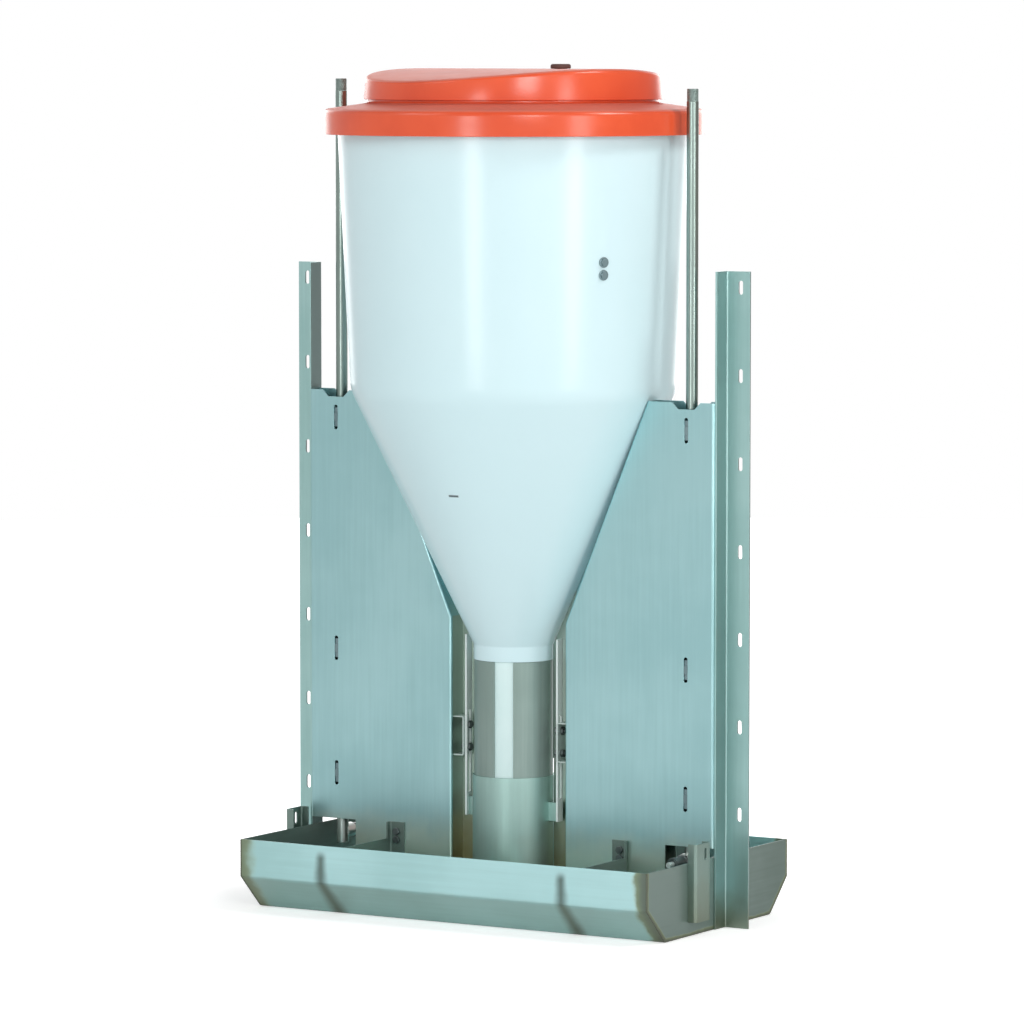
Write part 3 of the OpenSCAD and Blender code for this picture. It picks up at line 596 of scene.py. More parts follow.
def softened(node, edge, fold=0.0, is_fold=None):
    """A copy of a solid with soft edges; the edges that is_fold picks get the wider round of a fold."""
    work = bmesh.new()
    work.from_mesh(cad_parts[node].data)
    bmesh.ops.remove_doubles(work, verts=work.verts, dist=LOOSE)
    bmesh.ops.dissolve_limit(work, angle_limit=FLAT, verts=work.verts, edges=work.edges)
    if is_fold:
        folds = [e for e in work.edges if e.calc_face_angle(0.0) > FOLD
                 and is_fold(e.verts[0].co) and is_fold(e.verts[1].co)]
        bmesh.ops.bevel(work, geom=folds, offset=fold, offset_type="OFFSET", segments=4, profile=0.5,
                        affect="EDGES", clamp_overlap=False)
    mesh = bpy.data.meshes.new(node + "_soft")
    work.to_mesh(mesh)
    work.free()
    source = bpy.data.objects.new(node + "_soft", mesh)
    scene.collection.objects.link(source)
    bevel = source.modifiers.new("soft_edges", "BEVEL")
    bevel.width = edge
    bevel.segments = 2
    bevel.limit_method = "ANGLE"
    bevel.angle_limit = SHARP
    bevel.use_clamp_overlap = False
    weighted = source.modifiers.new("flat_faces", "WEIGHTED_NORMAL")
    weighted.mode = "FACE_AREA"
    weighted.weight = 100
    mesh.shade_smooth()
    return bake(source)


def dress(node, name, finish, edge=CUT_EDGE, **where):
    """Put a softened copy of a solid in its place, in a finish."""
    place_piece(name, softened(node, edge), finish, node, **where)


print("cut edges are rounded by", CUT_EDGE, "m")

# %% [markdown]
# ## Trough
# The trough is one sheet bent four times, closed by two welded end plates, and four dividers split it into a
# feeding middle and two drinking bowls at each end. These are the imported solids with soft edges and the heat
# tint on every piece that was welded.

# %% Trough, ends and dividers
dress("trough_shell", "trough_shell_sheet", trough_steel)
for node in ("trough_end_left", "trough_end_right",
             "divider_front_left", "divider_front_right", "divider_back_left", "divider_back_right"):
    dress(node, node + "_sheet", plate_steel)

# %% [markdown]
# ## Partition
# The two hollow panels are folded from sheet, so their inner, slanted and outer edges are bends of a few
# millimetres, while the top and bottom are bare cut edges. The wide round goes only on the bends: an edge is
# a bend where both its ends lie on one of the panel's faces and on one of those lines. Posts, brackets and
# the pipes' clips have cut edges only.

# %% Panels, posts and brackets
PANEL_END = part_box("right_panel")[1].x
PANEL_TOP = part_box("right_panel")[1].z
SLANT_LOW = 425 * MM
SLANT_TOP_X = 231.4 * MM
BEND_ROUND = 3.4 * MM
CLIP_EDGE = 0.2 * MM
NEAR = 0.1 * MM
NEAR_SLANT = 0.6 * MM


def on_panel_bend(point):
    """True on the edges where a panel's sheet is bent at its inner end, slant and outer end."""
    if abs(abs(point.y) - PANEL_FACE) > NEAR:
        return False
    lean = (SLANT_TOP_X - INNER_END) / (PANEL_TOP - SLANT_LOW)
    inner = INNER_END + max(0.0, point.z - SLANT_LOW) * lean
    return abs(abs(point.x) - inner) < NEAR_SLANT or abs(abs(point.x) - PANEL_END) < NEAR


for side in SIDES:
    place_piece(f"panel_{side}_sheet", softened(f"{side}_panel", CUT_EDGE, BEND_ROUND, on_panel_bend),
                panel_steel, f"{side}_panel")
    dress(f"post_{side}", f"post_{side}_sheet", post_steel)
    dress(f"partition_bracket_{side}", f"bracket_{side}_sheet", bracket_steel)
    dress(f"pipe_clips_{side}", f"clips_{side}_spring", bolt_steel, CLIP_EDGE)

# %% [markdown]
# ## Feed tube and its adjuster
# A white drop tube leads the feed down from the hopper. A steel guide tube with two upright windows stands
# round it, and a steel sleeve slides on the guide: two slotted straps carry the sleeve, and keepers on the
# panels clamp the straps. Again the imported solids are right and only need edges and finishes.

# %% Tubes, straps and keepers
dress("drop_tube", "drop_tube_wall", tube_plastic, slot="tube_plastic")
dress("guide_tube", "guide_tube_wall", tube_steel)
dress("feed_sleeve", "feed_sleeve_wall", sleeve_steel, body="sleeve")
for side in SIDES:
    dress(f"strap_{side}", f"strap_{side}_flat", zinc_steel, body="sleeve")
    dress(f"strap_keeper_{side}", f"keeper_{side}_channel", bright_steel)

# %% [markdown]
# ## Trees that make geometry
# Turned forms, threads, bolts and weld beads come from Geometry Nodes. A tree takes a small mesh, a path or
# some points, and a few values. It could stay on its object as a modifier, but a plain mesh is easier to
# hand on, so every tree is run once and only its result is kept.

# %% Helpers for geometry trees
def new_tree(name, **inputs):
    """An empty geometry tree with named inputs, each given with its kind."""
    tree = bpy.data.node_groups.new(name, "GeometryNodeTree")
    tree.interface.new_socket("Geometry", in_out="INPUT", socket_type="NodeSocketGeometry")
    for label, kind in inputs.items():
        tree.interface.new_socket(label, in_out="INPUT", socket_type="NodeSocket" + kind)
    tree.interface.new_socket("Geometry", in_out="OUTPUT", socket_type="NodeSocketGeometry")
    return tree, tree.nodes.new("NodeGroupInput").outputs


def end_tree(geometry, finish):
    """Close a tree with Realize Instances and Set Material."""
    tree = geometry.id_data
    real = wire(tree, "GeometryNodeRealizeInstances", {"Geometry": geometry}).outputs["Geometry"]
    dressed = wire(tree, "GeometryNodeSetMaterial", {"Geometry": real, "Material": finish})
    wire(tree, "NodeGroupOutput", {"Geometry": dressed.outputs["Geometry"]})


def grow(tree, source_mesh, values):
    """Run a tree on a mesh with its inputs set by identifier, and return the plain mesh."""
    source = bpy.data.objects.new(tree.name, source_mesh)
    scene.collection.objects.link(source)
    modifier = source.modifiers.new(tree.name, "NODES")
    modifier.node_group = tree
    for item in tree.interface.items_tree:
        if item.in_out == "INPUT" and item.name in values:
            modifier[item.identifier] = values[item.name]
    return bake(source)


def drawn(points, joined=True, **fields):
    """A mesh of points, joined in their order by edges, with named values or vectors on the points."""
    mesh = bpy.data.meshes.new("path")
    edges = [(i, i + 1) for i in range(len(points) - 1)] if joined else []
    mesh.from_pydata([tuple(p) for p in points], edges, [])
    for name, values in fields.items():
        if isinstance(values[0], (int, float)):
            mesh.attributes.new(name, "FLOAT", "POINT").data.foreach_set("value", values)
        else:
            flat = [part for value in values for part in value]
            mesh.attributes.new(name, "FLOAT_VECTOR", "POINT").data.foreach_set("vector", flat)
    return mesh


def field(tree, name, kind="FLOAT"):
    """A named value on the points; 0 where the mesh has none."""
    return wire(tree, "GeometryNodeInputNamedAttribute", {"Name": name}, data_type=kind).outputs["Attribute"]


print("geometry helpers ready")

# %% [markdown]
# ## Turned forms
# Hopper, ring and plug are round, so each is a profile turned about the upright axis. Blender's Screw
# modifier could do it. A small Geometry Nodes tree does the same as a rule that can be read: a grid has one
# column for each step of the turn and one row for each point of the profile, and every grid point takes the
# radius and height of its row and the angle of its column. Merging by distance then closes the seam and the
# poles. Bolt heads and nuts come from the same tree: a profile point that is marked six follows a hexagon,
# whose radius is its half width divided by the cosine of the angle to the nearest flat, and one that is
# marked cut moves along the axis with that radius, which leaves the round chamfer that such heads have.

# %% A lathe in Geometry Nodes
CLOSE = 0.002 * MM
CHAMFER_SLOPE = math.tan(math.radians(30))

lathe, given = new_tree("lathe", Steps="Int", Finish="Material")
drawn_profile = given["Geometry"]
count = wire(lathe, "GeometryNodeAttributeDomainSize", {"Geometry": drawn_profile}).outputs["Point Count"]
columns = sums("ADD", given["Steps"], 1)
grid = wire(lathe, "GeometryNodeMeshGrid", {"Vertices X": columns, "Vertices Y": count}).outputs["Mesh"]
number = wire(lathe, "GeometryNodeInputIndex").outputs["Index"]
column = sums("FLOOR", sums("DIVIDE", number, count))
row = sums("MODULO", number, count)
angle = times(sums("DIVIDE", column, given["Steps"]), math.tau)


def in_row(value, kind="FLOAT"):
    """A value of the profile's point that a grid point's row stands for."""
    return wire(lathe, "GeometryNodeSampleIndex", {"Geometry": drawn_profile, "Value": value, "Index": row},
                data_type=kind, domain="POINT").outputs["Value"]


part = parts(in_row(wire(lathe, "GeometryNodeInputPosition").outputs["Position"], "FLOAT_VECTOR"))
six = in_row(field(lathe, "six"))
cut = in_row(field(lathe, "cut"))
from_flat = sums("SUBTRACT", sums("MODULO", angle, math.tau / 6), math.tau / 12)
bulge = sums("SUBTRACT", sums("DIVIDE", 1.0, sums("COSINE", from_flat)), 1.0)
extra = times(part["X"], six, bulge)
reach = sums("ADD", part["X"], extra)
lift = times(extra, cut, CHAMFER_SLOPE)
turned = wire(lathe, "ShaderNodeCombineXYZ", {
    "X": times(reach, sums("COSINE", angle)),
    "Y": times(reach, sums("SINE", angle)),
    "Z": sums("ADD", part["Z"], lift)}).outputs["Vector"]
shaped = wire(lathe, "GeometryNodeSetPosition", {"Geometry": grid, "Position": turned}).outputs["Geometry"]
closed = wire(lathe, "GeometryNodeMergeByDistance", {"Geometry": shaped, "Distance": CLOSE})
end_tree(closed.outputs["Geometry"], given["Finish"])


def outwards(mesh):
    """Turn every face of a closed mesh outwards."""
    work = bmesh.new()
    work.from_mesh(mesh)
    bmesh.ops.remove_doubles(work, verts=work.verts, dist=CLOSE)
    bmesh.ops.dissolve_degenerate(work, edges=work.edges, dist=CLOSE / 2)
    bmesh.ops.recalc_face_normals(work, faces=work.faces)
    work.to_mesh(mesh)
    work.free()
    return mesh


def turn(profile, finish, steps, hard=HARD_LINE, **fields):
    """A turned form from a profile of (radius, height) in millimetres."""
    path = drawn([(r * MM, 0, z * MM) for r, z in profile], **fields)
    mesh = outwards(grow(lathe, path, {"Steps": steps, "Finish": finish}))
    shade_by_angle(mesh, hard)
    return mesh


print("lathe tree with", len(lathe.nodes), "nodes")

# %% [markdown]
# ## Rounded profiles
# A profile is written as corners, each with the radius of its round. A round between two straight runs is an
# arc that touches both, so its start lies radius / tan(half the corner's angle) from the corner. A wall's
# inner side is the outer path moved sideways by the wall.

# %% Helpers for profiles
def rounded(corners, steps=8):
    """A closed profile from corners (x, z, round); the first point is repeated at the end."""
    points = []
    for i, (x, z, r) in enumerate(corners):
        here = Vector((x, z))
        before = Vector(corners[i - 1][:2]) - here
        after = Vector(corners[(i + 1) % len(corners)][:2]) - here
        half = before.angle(after) / 2
        if r <= 0 or half > math.radians(89.9):
            points.append((x, z))
            continue
        before.normalize()
        after.normalize()
        middle = here + (before + after).normalized() * r / math.sin(half)
        first = here + before * r / math.tan(half) - middle
        sweep = first.angle_signed(here + after * r / math.tan(half) - middle)
        for k in range(steps + 1):
            turned_arm = first.copy()
            turned_arm.rotate(Matrix.Rotation(-sweep * k / steps, 2))
            points.append(tuple(middle + turned_arm))
    return points + points[:1]


def beside(path, wall):
    """A path of (x, z, round) moved to its left by a wall, its rounds changed to stay parallel."""
    moved = []
    for i, (x, z, r) in enumerate(path):
        runs = []
        if i:
            runs.append((Vector((x, z)) - Vector(path[i - 1][:2])).normalized())
        if i < len(path) - 1:
            runs.append((Vector(path[i + 1][:2]) - Vector((x, z))).normalized())
        sides = [Vector((-run.y, run.x)) for run in runs]
        bend = runs[0].cross(runs[-1]) if len(runs) == 2 else 0.0
        step = (sides[0] + sides[-1]) / (1 + sides[0].dot(sides[-1]))
        change = 0.0 if abs(bend) < 1e-6 or r == 0 else -math.copysign(wall, bend)
        moved.append((x + step.x * wall, z + step.y * wall, max(0.0, r + change)))
    return moved


unit_square = [(0, 0, 0.1), (1, 0, 0.1), (1, 1, 0.1), (0, 1, 0.1)]
print("a unit square with rounds has", len(rounded(unit_square)), "points")

# %% [markdown]
# ## Hopper
# A drum that widens slightly upwards stands on a cone, and the cone ends in a short collar that takes the
# drop tube. The wall is 3 mm. The round between drum and cone is large and soft, as moulded plastic has it,
# so the light rolls over it without a line.

# %% Hopper
HOPPER_WALL = 3.0
COLLAR_R = 58.3
COLLAR_H = 22
COLLAR_ROUND = 6
DRUM_LOW_R = 236.0
DRUM_LOW_Z = 760.0
SHOULDER_ROUND = 70
FINE_STEPS = 192
hopper_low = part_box("hopper")[0].z / MM
hopper_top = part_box("hopper")[1].z / MM
hopper_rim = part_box("hopper")[1].x / MM
outer = [(COLLAR_R, hopper_low, 0), (COLLAR_R, hopper_low + COLLAR_H, COLLAR_ROUND),
         (DRUM_LOW_R, DRUM_LOW_Z, SHOULDER_ROUND), (hopper_rim, hopper_top, 0)]
inner = beside(outer, HOPPER_WALL)
hopper_profile = rounded(
    [(COLLAR_R, hopper_low, 0.8)] + outer[1:-1] + [(hopper_rim, hopper_top, 1.0), (*inner[-1][:2], 1.0)]
    + inner[-2:0:-1] + [(*inner[0][:2], 0.8)], 12)
place_piece("hopper_shell", turn(hopper_profile, hopper_plastic, FINE_STEPS), hopper_plastic,
            "hopper", slot="hopper_plastic")

# %% [markdown]
# ## Lid ring
# The ring hangs over the hopper's rim with a rounded shoulder, its neck carries the lid, and a rib under its
# shelf keeps it on the rim. Like the hopper it is an outer path and the same path moved by the wall.

# %% Ring
RING_WALL = 3.0
SHOULDER_H = 36
SHELF_RISE = 9
NECK_R = 210.0
RIB_ROOM = 0.6
RIB_LIFT = 8
LIP = 1.2
ring_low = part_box("lid_ring")[0].z / MM
ring_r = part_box("lid_ring")[1].x / MM
neck_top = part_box("lid_ring")[1].z / MM
shoulder_z = ring_low + SHOULDER_H
shelf_z = shoulder_z + SHELF_RISE
rib_low = ring_low + RIB_LIFT
rib_r = hopper_rim + RIB_ROOM
rib_out = rib_r + RING_WALL
slope = (shelf_z - shoulder_z) / (ring_r - NECK_R)
under_drop = RING_WALL * math.sqrt(1 + slope * slope)


def under_shelf(r):
    """Height of the underside of the ring's shelf at a radius."""
    return shoulder_z + (ring_r - r) * slope - under_drop


outer = [(ring_r, ring_low, 0), (ring_r, shoulder_z, 9), (NECK_R, shelf_z, 4), (NECK_R, neck_top, 0)]
inner = beside(outer, RING_WALL)
ring_profile = rounded(
    [(ring_r, ring_low, LIP)] + outer[1:-1] + [(NECK_R, neck_top, LIP), (inner[-1][0], neck_top, LIP),
     inner[-2], (rib_r, under_shelf(rib_r), 2), (rib_r, rib_low, LIP), (rib_out, rib_low, LIP),
     (rib_out, under_shelf(rib_out), 2), inner[1], (inner[0][0], ring_low, LIP)])
place_piece("lid_ring_moulding", turn(ring_profile, orange_plastic, FINE_STEPS), orange_plastic,
            "lid_ring", slot="orange_plastic")

# %% [markdown]
# ## Lid
# The lid is a shallow vault: seen from one side it is flat, seen from the other it is an arch, so its skirt
# is high at two sides and low at the other two, and it leans in a little towards the top, as anything does
# that has to come out of a mould. Turned first and bent afterwards, it needs one rule: the height over the
# lower edge shrinks by the drop of a wide arc across the vault's crown line.

# %% Lid
LID_TURN = math.radians(-19)
LID_R = 216.0
LID_WALL = 3.0
LID_SAG = 18.0
LID_DRAFT = 3.0
LID_EDGE_ROUND = 7.0
LID_FOOT_ROUND = 1.3
LID_RINGS = 24
lid_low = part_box("lid")[0].z / MM
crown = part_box("lid")[1].z / MM
underside = crown - LID_WALL
top_r = LID_R - LID_DRAFT
vault_r = (LID_R ** 2 + LID_SAG ** 2) / (2 * LID_SAG)
flat_radii = [LID_R * k / LID_RINGS for k in range(LID_RINGS - 1)]
lid_path = [(r, crown) for r in flat_radii]
lid_path += rounded([(0, crown, 0), (top_r, crown, LID_EDGE_ROUND), (LID_R, lid_low, LID_FOOT_ROUND),
                     (LID_R - LID_WALL, lid_low, LID_FOOT_ROUND),
                     (top_r - LID_WALL, underside, LID_EDGE_ROUND - LID_WALL), (0, underside, 0)])[1:-2]
lid_path += [(r, underside) for r in reversed(flat_radii)]
lid_mesh = turn(lid_path, orange_plastic, FINE_STEPS)
for vertex in lid_mesh.vertices:
    x, y, z = vertex.co
    across = x * math.sin(-LID_TURN) + y * math.cos(LID_TURN)
    drop = vault_r - math.sqrt(vault_r ** 2 - (across / MM) ** 2)
    height = z / MM - lid_low
    vertex.co.z = (lid_low + height * (1 - drop / (crown - lid_low))) * MM
shade_by_angle(lid_mesh)
place_piece("lid_moulding", lid_mesh, orange_plastic, "lid", body="lid", slot="orange_plastic")

# %% [markdown]
# ## Plug
# A rubber plug sits on the lid, with its stem going down through it. It is turned too: a stem, a button with
# a rounded edge, and a shallow dish in the button's top.

# %% Plug
SEAT_GAP = 0.3
STEM_R = 9
BUTTON_R = 14.5
DISH_R = 11.2
DISH_FLOOR_R = 9.8
DISH_DEPTH = 0.7
low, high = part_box("lid_plug")
stem_foot = low.z / MM
button_seat = crown + SEAT_GAP
button_top = high.z / MM
dish_floor = button_top - DISH_DEPTH
plug_profile = [(0, stem_foot)] + rounded(
    [(0, stem_foot, 0), (STEM_R, stem_foot, 1), (STEM_R, button_seat, 0.5), (BUTTON_R, button_seat, 1.2),
     (BUTTON_R, button_top, 3), (0, button_top, 0)], 6)[1:-2]
plug_profile += [(DISH_R, button_top), (DISH_FLOOR_R, dish_floor), (0, dish_floor)]
plug_mesh = turn(plug_profile, plug_rubber, 48)
plug_mesh.transform(Matrix.Translation(((low.x + high.x) / 2, (low.y + high.y) / 2, 0)))
place_piece("lid_plug_button", plug_mesh, plug_rubber, "lid_plug", body="lid", slot="plug_rubber")

# %% [markdown]
# ## Water pipes and nipples
# Each pipe runs down inside its panel, ends in a drinking nipple over the bowl, and has a dark, oiled thread
# on top for the water line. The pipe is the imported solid, cut across where the thread starts and drawn in to
# the thread's core above that.

# %% Pipes
THREAD_LENGTH = 18 * MM
THREAD_CORE = 7.9 * MM
THREAD_RIDGE = 0.55 * MM
NECK_RUN = 1 * MM
PIPE_EDGE = 0.3 * MM
BARREL_EDGE = 0.4 * MM
STEM_EDGE = 0.5 * MM


def necked(mesh, middle_x):
    """Draw a pipe's top in to the thread's core and mark it as oiled."""
    top = max(vertex.co.z for vertex in mesh.vertices)
    work = bmesh.new()
    work.from_mesh(mesh)
    for start in (top - THREAD_LENGTH, top - THREAD_LENGTH + NECK_RUN):
        bmesh.ops.bisect_plane(work, geom=work.verts[:] + work.edges[:] + work.faces[:],
                               plane_co=(0, 0, start), plane_no=(0, 0, 1))
    work.to_mesh(mesh)
    work.free()
    oiled = mesh.attributes.new("oiled", "FLOAT", "POINT")
    for vertex in mesh.vertices:
        if vertex.co.z < top - THREAD_LENGTH + NECK_RUN / 2:
            continue
        oiled.data[vertex.index].value = 1.0
        arm = Vector((vertex.co.x - middle_x, vertex.co.y))
        if arm.length > THREAD_CORE:
            arm *= THREAD_CORE / arm.length
            vertex.co = (middle_x + arm.x, arm.y, vertex.co.z)
    shade_by_angle(mesh)
    return mesh


for side in SIDES:
    low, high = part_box(f"water_pipe_{side}")
    pipe = necked(softened(f"water_pipe_{side}", PIPE_EDGE), (low.x + high.x) / 2)
    place_piece(f"pipe_{side}_tube", pipe, pipe_steel, f"water_pipe_{side}")
    dress(f"nipple_body_{side}", f"nipple_{side}_barrel", dark_steel, BARREL_EDGE)
    dress(f"nipple_pin_{side}", f"nipple_{side}_stem", bright_steel, STEM_EDGE,
          body=f"{side}_pin", slot="nipple_pin")

# %% [markdown]
# ## Pipe threads
# A thread is a ridge that winds up a core. A Screw modifier could turn it, but a Spiral curve with a small
# square as its section has the number of turns and the length as plain inputs.

# %% Threads on the pipes
THREAD_PITCH = 1.34 * MM
HELIX_LENGTH = THREAD_LENGTH - 2 * THREAD_RIDGE


def rod(path, sides, radius, **extra):
    """A curve thickened to a closed rod."""
    tree = path.id_data
    section = wire(tree, "GeometryNodeCurvePrimitiveCircle", {"Resolution": sides, "Radius": radius},
                   mode="RADIUS").outputs["Curve"]
    return wire(tree, "GeometryNodeCurveToMesh", {
        "Curve": path, "Profile Curve": section, "Fill Caps": True, **extra}).outputs["Mesh"]


thread, given = new_tree("thread", Turns="Float", Length="Float", Core="Float", Ridge="Float",
                         Finish="Material")
helix = wire(thread, "GeometryNodeCurveSpiral", {
    "Resolution": 28, "Rotations": given["Turns"], "Height": given["Length"],
    "Start Radius": given["Core"], "End Radius": given["Core"]}).outputs["Curve"]
ridge = rod(helix, 4, given["Ridge"])
placed = wire(thread, "GeometryNodeInstanceOnPoints", {"Points": given["Geometry"], "Instance": ridge})
end_tree(placed.outputs["Instances"], given["Finish"])
for side in SIDES:
    low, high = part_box(f"water_pipe_{side}")
    foot = ((low.x + high.x) / 2, 0.0, high.z - THREAD_LENGTH + THREAD_RIDGE)
    thread_mesh = grow(thread, drawn([foot], joined=False), {
        "Turns": HELIX_LENGTH / THREAD_PITCH, "Length": HELIX_LENGTH,
        "Core": THREAD_CORE, "Ridge": THREAD_RIDGE, "Finish": tube_steel})
    place_piece(f"pipe_{side}_thread", thread_mesh, tube_steel)

# %% [markdown]
# ## Bolts and nuts
# Hexagon bolts hold the dividers' tabs to the panels and the straps to their keepers, and two more go
# through the hopper's drum. One bolt is turned for each length: a head with a round chamfer, a seat that may
# widen to a flange, and a shank.

# %% One bolt, one nut
FLATS = 10.0
HEAD = 4.0
NUT = 5.0
SHANK_R = 3.0
BOLT_STEPS = 24
BOLT_LINE = 25
TOP_R = 4.7
FLANGE_T = 1.4
FLANGE_FALL = 0.5
TIP_LENGTH = 0.7
TIP_DEPTH = 0.6
BORE_PLAY = 0.15
BORE_CHAMFER = 0.5
CHAMFER = (FLATS / 2 - TOP_R) * CHAMFER_SLOPE
CORNER = FLATS / 2 * MM / math.cos(math.radians(30))


def bolt_mesh(length, flange=0.0):
    """A bolt along +Z, with the underside of its head at the origin and, where asked, a flange on it."""
    head = [(0, -HEAD), (TOP_R, -HEAD), (FLATS / 2, CHAMFER - HEAD)]
    seat = [(FLATS / 2, 0)]
    if flange:
        seat = [(FLATS / 2, -FLANGE_T), (flange, FLANGE_FALL - FLANGE_T), (flange, 0)]
    shank = [(SHANK_R, 0), (SHANK_R, length - TIP_LENGTH), (SHANK_R - TIP_DEPTH, length), (0, length)]
    round_part = [0] * (len(seat) - 1 + len(shank))
    return turn(head + seat + shank, dark_steel, BOLT_STEPS, BOLT_LINE, six=[0, 0, 1, 1] + round_part,
                cut=[0, 0, 1, 0] + round_part)


def nut_mesh():
    """A nut along +Z, with its seat at the origin."""
    bore = SHANK_R + BORE_PLAY
    mouth = bore + BORE_CHAMFER
    profile = [(bore, BORE_CHAMFER), (mouth, 0), (FLATS / 2, 0), (FLATS / 2, NUT - CHAMFER), (TOP_R, NUT),
               (mouth, NUT), (bore, NUT - BORE_CHAMFER), (bore, BORE_CHAMFER)]
    return turn(profile, dark_steel, BOLT_STEPS, BOLT_LINE, six=[0, 0, 1, 1, 0, 0, 0, 0],
                cut=[0, 0, 0, -1, 0, 0, 0, 0])


print("bolt", len(bolt_mesh(10).polygons), "faces, nut", len(nut_mesh().polygons), "faces")

# %% [markdown]
# ## Fasteners in their places
# A tree sets one bolt or nut on every place, along the axis that is stored on the point and with its own
# twist, because nobody lines up the flats of bolts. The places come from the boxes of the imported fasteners,
# and the hopper's follow the lean of its drum.

# %% Setting fasteners on their places
setting, given = new_tree("fasteners", Shape="Object", Finish="Material")
shape = wire(setting, "GeometryNodeObjectInfo", {"Object": given["Shape"]}).outputs["Geometry"]
axis = field(setting, "axis", "FLOAT_VECTOR")
along = wire(setting, "FunctionNodeAlignRotationToVector", {"Vector": axis}, axis="Z").outputs[0]
twist = wire(setting, "FunctionNodeAxisAngleToRotation",
             {"Axis": (0, 0, 1), "Angle": field(setting, "twist")})
stance = wire(setting, "FunctionNodeRotateRotation", {"Rotation": along, "Rotate By": twist.outputs[0]},
              rotation_space="LOCAL").outputs[0]
fixed = wire(setting, "GeometryNodeInstanceOnPoints", {
    "Points": given["Geometry"], "Instance": shape, "Rotation": stance})
end_tree(fixed.outputs["Instances"], given["Finish"])


def set_fasteners(node, shape_mesh, places, finish=dark_steel):
    """Put one shape on places, each a point and an axis, instead of the solids of a node."""
    model = bpy.data.objects.new(node + "_model", shape_mesh)
    scene.collection.objects.link(model)
    points = drawn([p for p, a in places], joined=False, axis=[tuple(a) for p, a in places],
                   twist=[0.9 * k * k + 0.2 for k in range(len(places))])
    mesh = grow(setting, points, {"Shape": model, "Finish": finish})
    bpy.data.objects.remove(model)
    place_piece(node + "_hex", mesh, finish, node, slot="fasteners")


def pair_heights(box):
    """The heights of two bolts, one over the other, whose hexagons fill a box."""
    return box[0].z + CORNER, box[1].z - CORNER


low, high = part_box("divider_front_right")
tab_x = (low.x + high.x) / 2
low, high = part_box("divider_bolts")
head_y = low.y + HEAD * MM
nut_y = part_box("divider_nuts")[0].y
seats = [(side * tab_x, z) for side in (-1, 1) for z in pair_heights((low, high))]
set_fasteners("divider_bolts", bolt_mesh((high.y - head_y) / MM),
              [((x, head_y, z), (0, 1, 0)) for x, z in seats])
set_fasteners("divider_nuts", nut_mesh(), [((x, nut_y, z), (0, 1, 0)) for x, z in seats])

KEEPER_SEAT = 75.2 * MM
low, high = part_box("keeper_bolts")
nut_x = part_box("keeper_nuts")[1].x - NUT * MM
seats = [(side, z) for side in (-1, 1) for z in pair_heights((low, high))]
set_fasteners("keeper_bolts", bolt_mesh((high.x - KEEPER_SEAT) / MM),
              [((side * KEEPER_SEAT, 0, z), (side, 0, 0)) for side, z in seats])
set_fasteners("keeper_nuts", nut_mesh(), [((side * nut_x, 0, z), (side, 0, 0)) for side, z in seats])

BOLT_TURN = math.radians(62)
BOLT_HEIGHTS = (932.0, 950.0)
BOLT_LENGTH = 9.6
HOPPER_FLANGE = 7.6
NUT_GAP = 0.6
drum_lean = (hopper_rim - DRUM_LOW_R) / (hopper_top - DRUM_LOW_Z)
outside = Vector((math.sin(BOLT_TURN), -math.cos(BOLT_TURN), 0))
bolt_places = []
nut_places = []
for z in BOLT_HEIGHTS:
    skin = hopper_rim - (hopper_top - z) * drum_lean
    level = Vector((0, 0, z * MM))
    bolt_places.append((outside * (skin + SEAT_GAP) * MM + level, -outside))
    nut_places.append((outside * (skin - HOPPER_WALL - NUT_GAP) * MM + level, -outside))
set_fasteners("hopper_bolts", bolt_mesh(BOLT_LENGTH, HOPPER_FLANGE), bolt_places, bolt_steel)
set_fasteners("hopper_nuts", nut_mesh(), nut_places)

# %% [markdown]
# ## Weld beads
# The end plates are welded to the shell along their outline, and the dividers along the inside of the
# trough. A bead is a round rod whose thickness swells and shrinks a little as each drop of metal freezes, so
# the tree resamples the path finely and sets the curve's radius by a sine along it. The dividers' beads lie
# in the corner between two sheets, and half of each is inside the metal.

# %% Beads along their paths
BEAD_R = 1.3 * MM
BEAD_STEP = 0.8 * MM
RIPPLE = 0.16
RIPPLE_TURN = 1.6

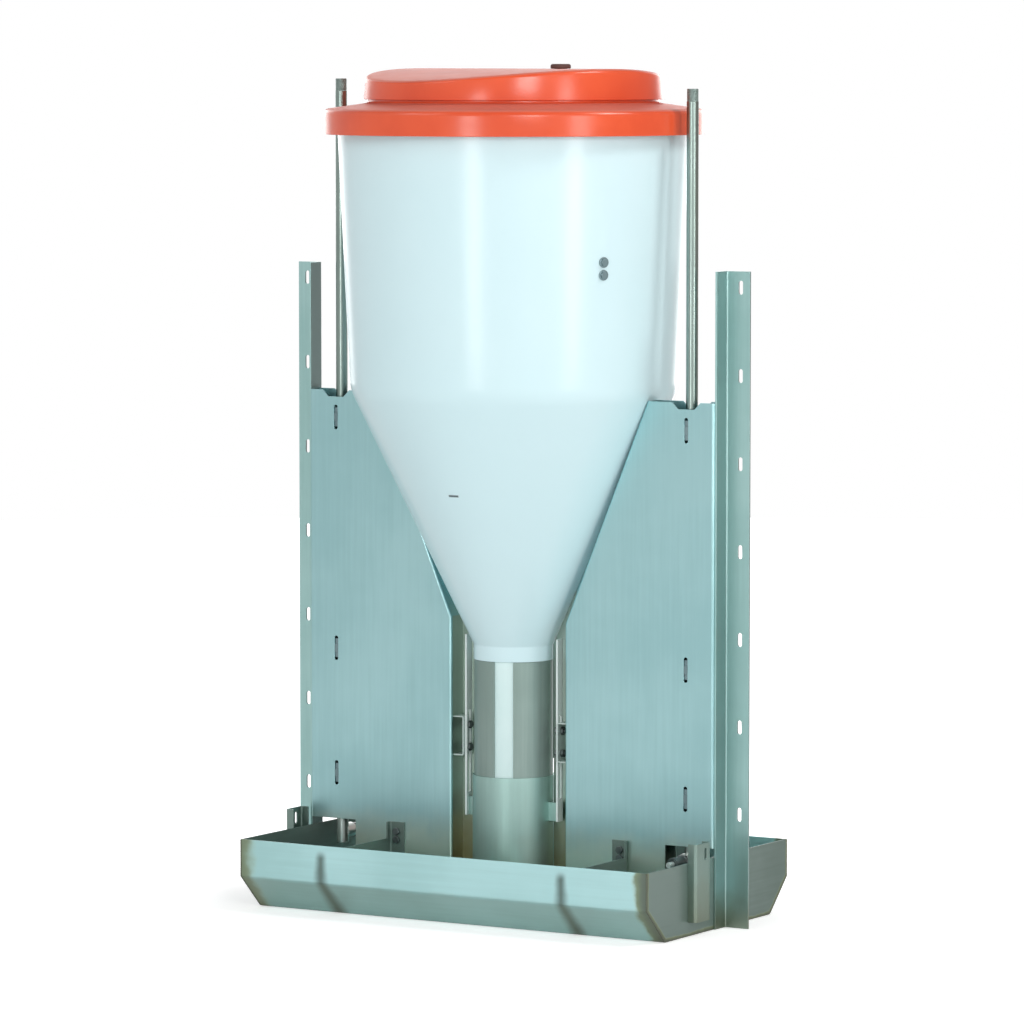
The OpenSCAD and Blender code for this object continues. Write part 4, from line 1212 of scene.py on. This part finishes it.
bead, given = new_tree("weld_bead", Radius="Float", Step="Float", Finish="Material")
run = wire(bead, "GeometryNodeMeshToCurve", {"Mesh": given["Geometry"]}).outputs["Curve"]
fine = wire(bead, "GeometryNodeResampleCurve", {"Curve": run, "Length": given["Step"]}, mode="LENGTH")
number = wire(bead, "GeometryNodeInputIndex").outputs["Index"]
wave = sums("SINE", times(number, RIPPLE_TURN))
swell = sums("ADD", times(wave, RIPPLE), 1.0)
rippled = wire(bead, "GeometryNodeSetCurveRadius", {"Curve": fine.outputs["Curve"], "Radius": swell})
filled = rod(rippled.outputs["Curve"], 6, given["Radius"], Scale=swell)
end_tree(filled, given["Finish"])


def trough_outline(inset, low, high):
    """Half of the trough's outline, from the rim to the floor, moved inwards and cut off at two heights."""
    corners = beside([(TROUGH_HALF, high, 0), (TROUGH_HALF, BEND_Z, 0), (FLOOR_HALF, 0.0, 0)], -inset)
    (x0, z0, _), (x1, z1, _), (x2, z2, _) = corners
    share = (low - z1) / (z2 - z1)
    return [(x0, z0), (x1, z1), (x1 + (x2 - x1) * share, low)]


DIVIDER_WELD = DIVIDER_X + 1.2 * MM
END_WELD = TROUGH_END_X - 0.9 * MM
WELD_END_Y = 26 * MM
edge = trough_outline(0.6 * MM, 2.5 * MM, TROUGH_RIM - 1.5 * MM)
joint = trough_outline(2.4 * MM, 2.6 * MM, TROUGH_RIM - 13 * MM)
floor_y, floor_z = joint[-1]
for side, sign in (("left", -1), ("right", 1)):
    paths = []
    for front in (-1, 1):
        paths.append([(sign * END_WELD, front * y, z) for y, z in edge])
        paths.append([(sign * DIVIDER_WELD, front * y, z) for y, z in joint])
        paths.append([(sign * DIVIDER_WELD, front * y, floor_z) for y in (floor_y, WELD_END_Y)])
    together = bmesh.new()
    for line in paths:
        spots = [together.verts.new(p) for p in line]
        for first, second in zip(spots, spots[1:]):
            together.edges.new((first, second))
    lines = bpy.data.meshes.new("weld_lines")
    together.to_mesh(lines)
    together.free()
    beads = grow(bead, lines, {"Radius": BEAD_R, "Step": BEAD_STEP, "Finish": plate_steel})
    shade_by_angle(beads, 60)
    place_piece(f"welds_{side}", beads, plate_steel)

# %% [markdown]
# ## Last update
# The view layer is updated once more at the end. The visual model may not leave the imported model's
# box.

# %% Update the view layer
bpy.context.view_layer.update()
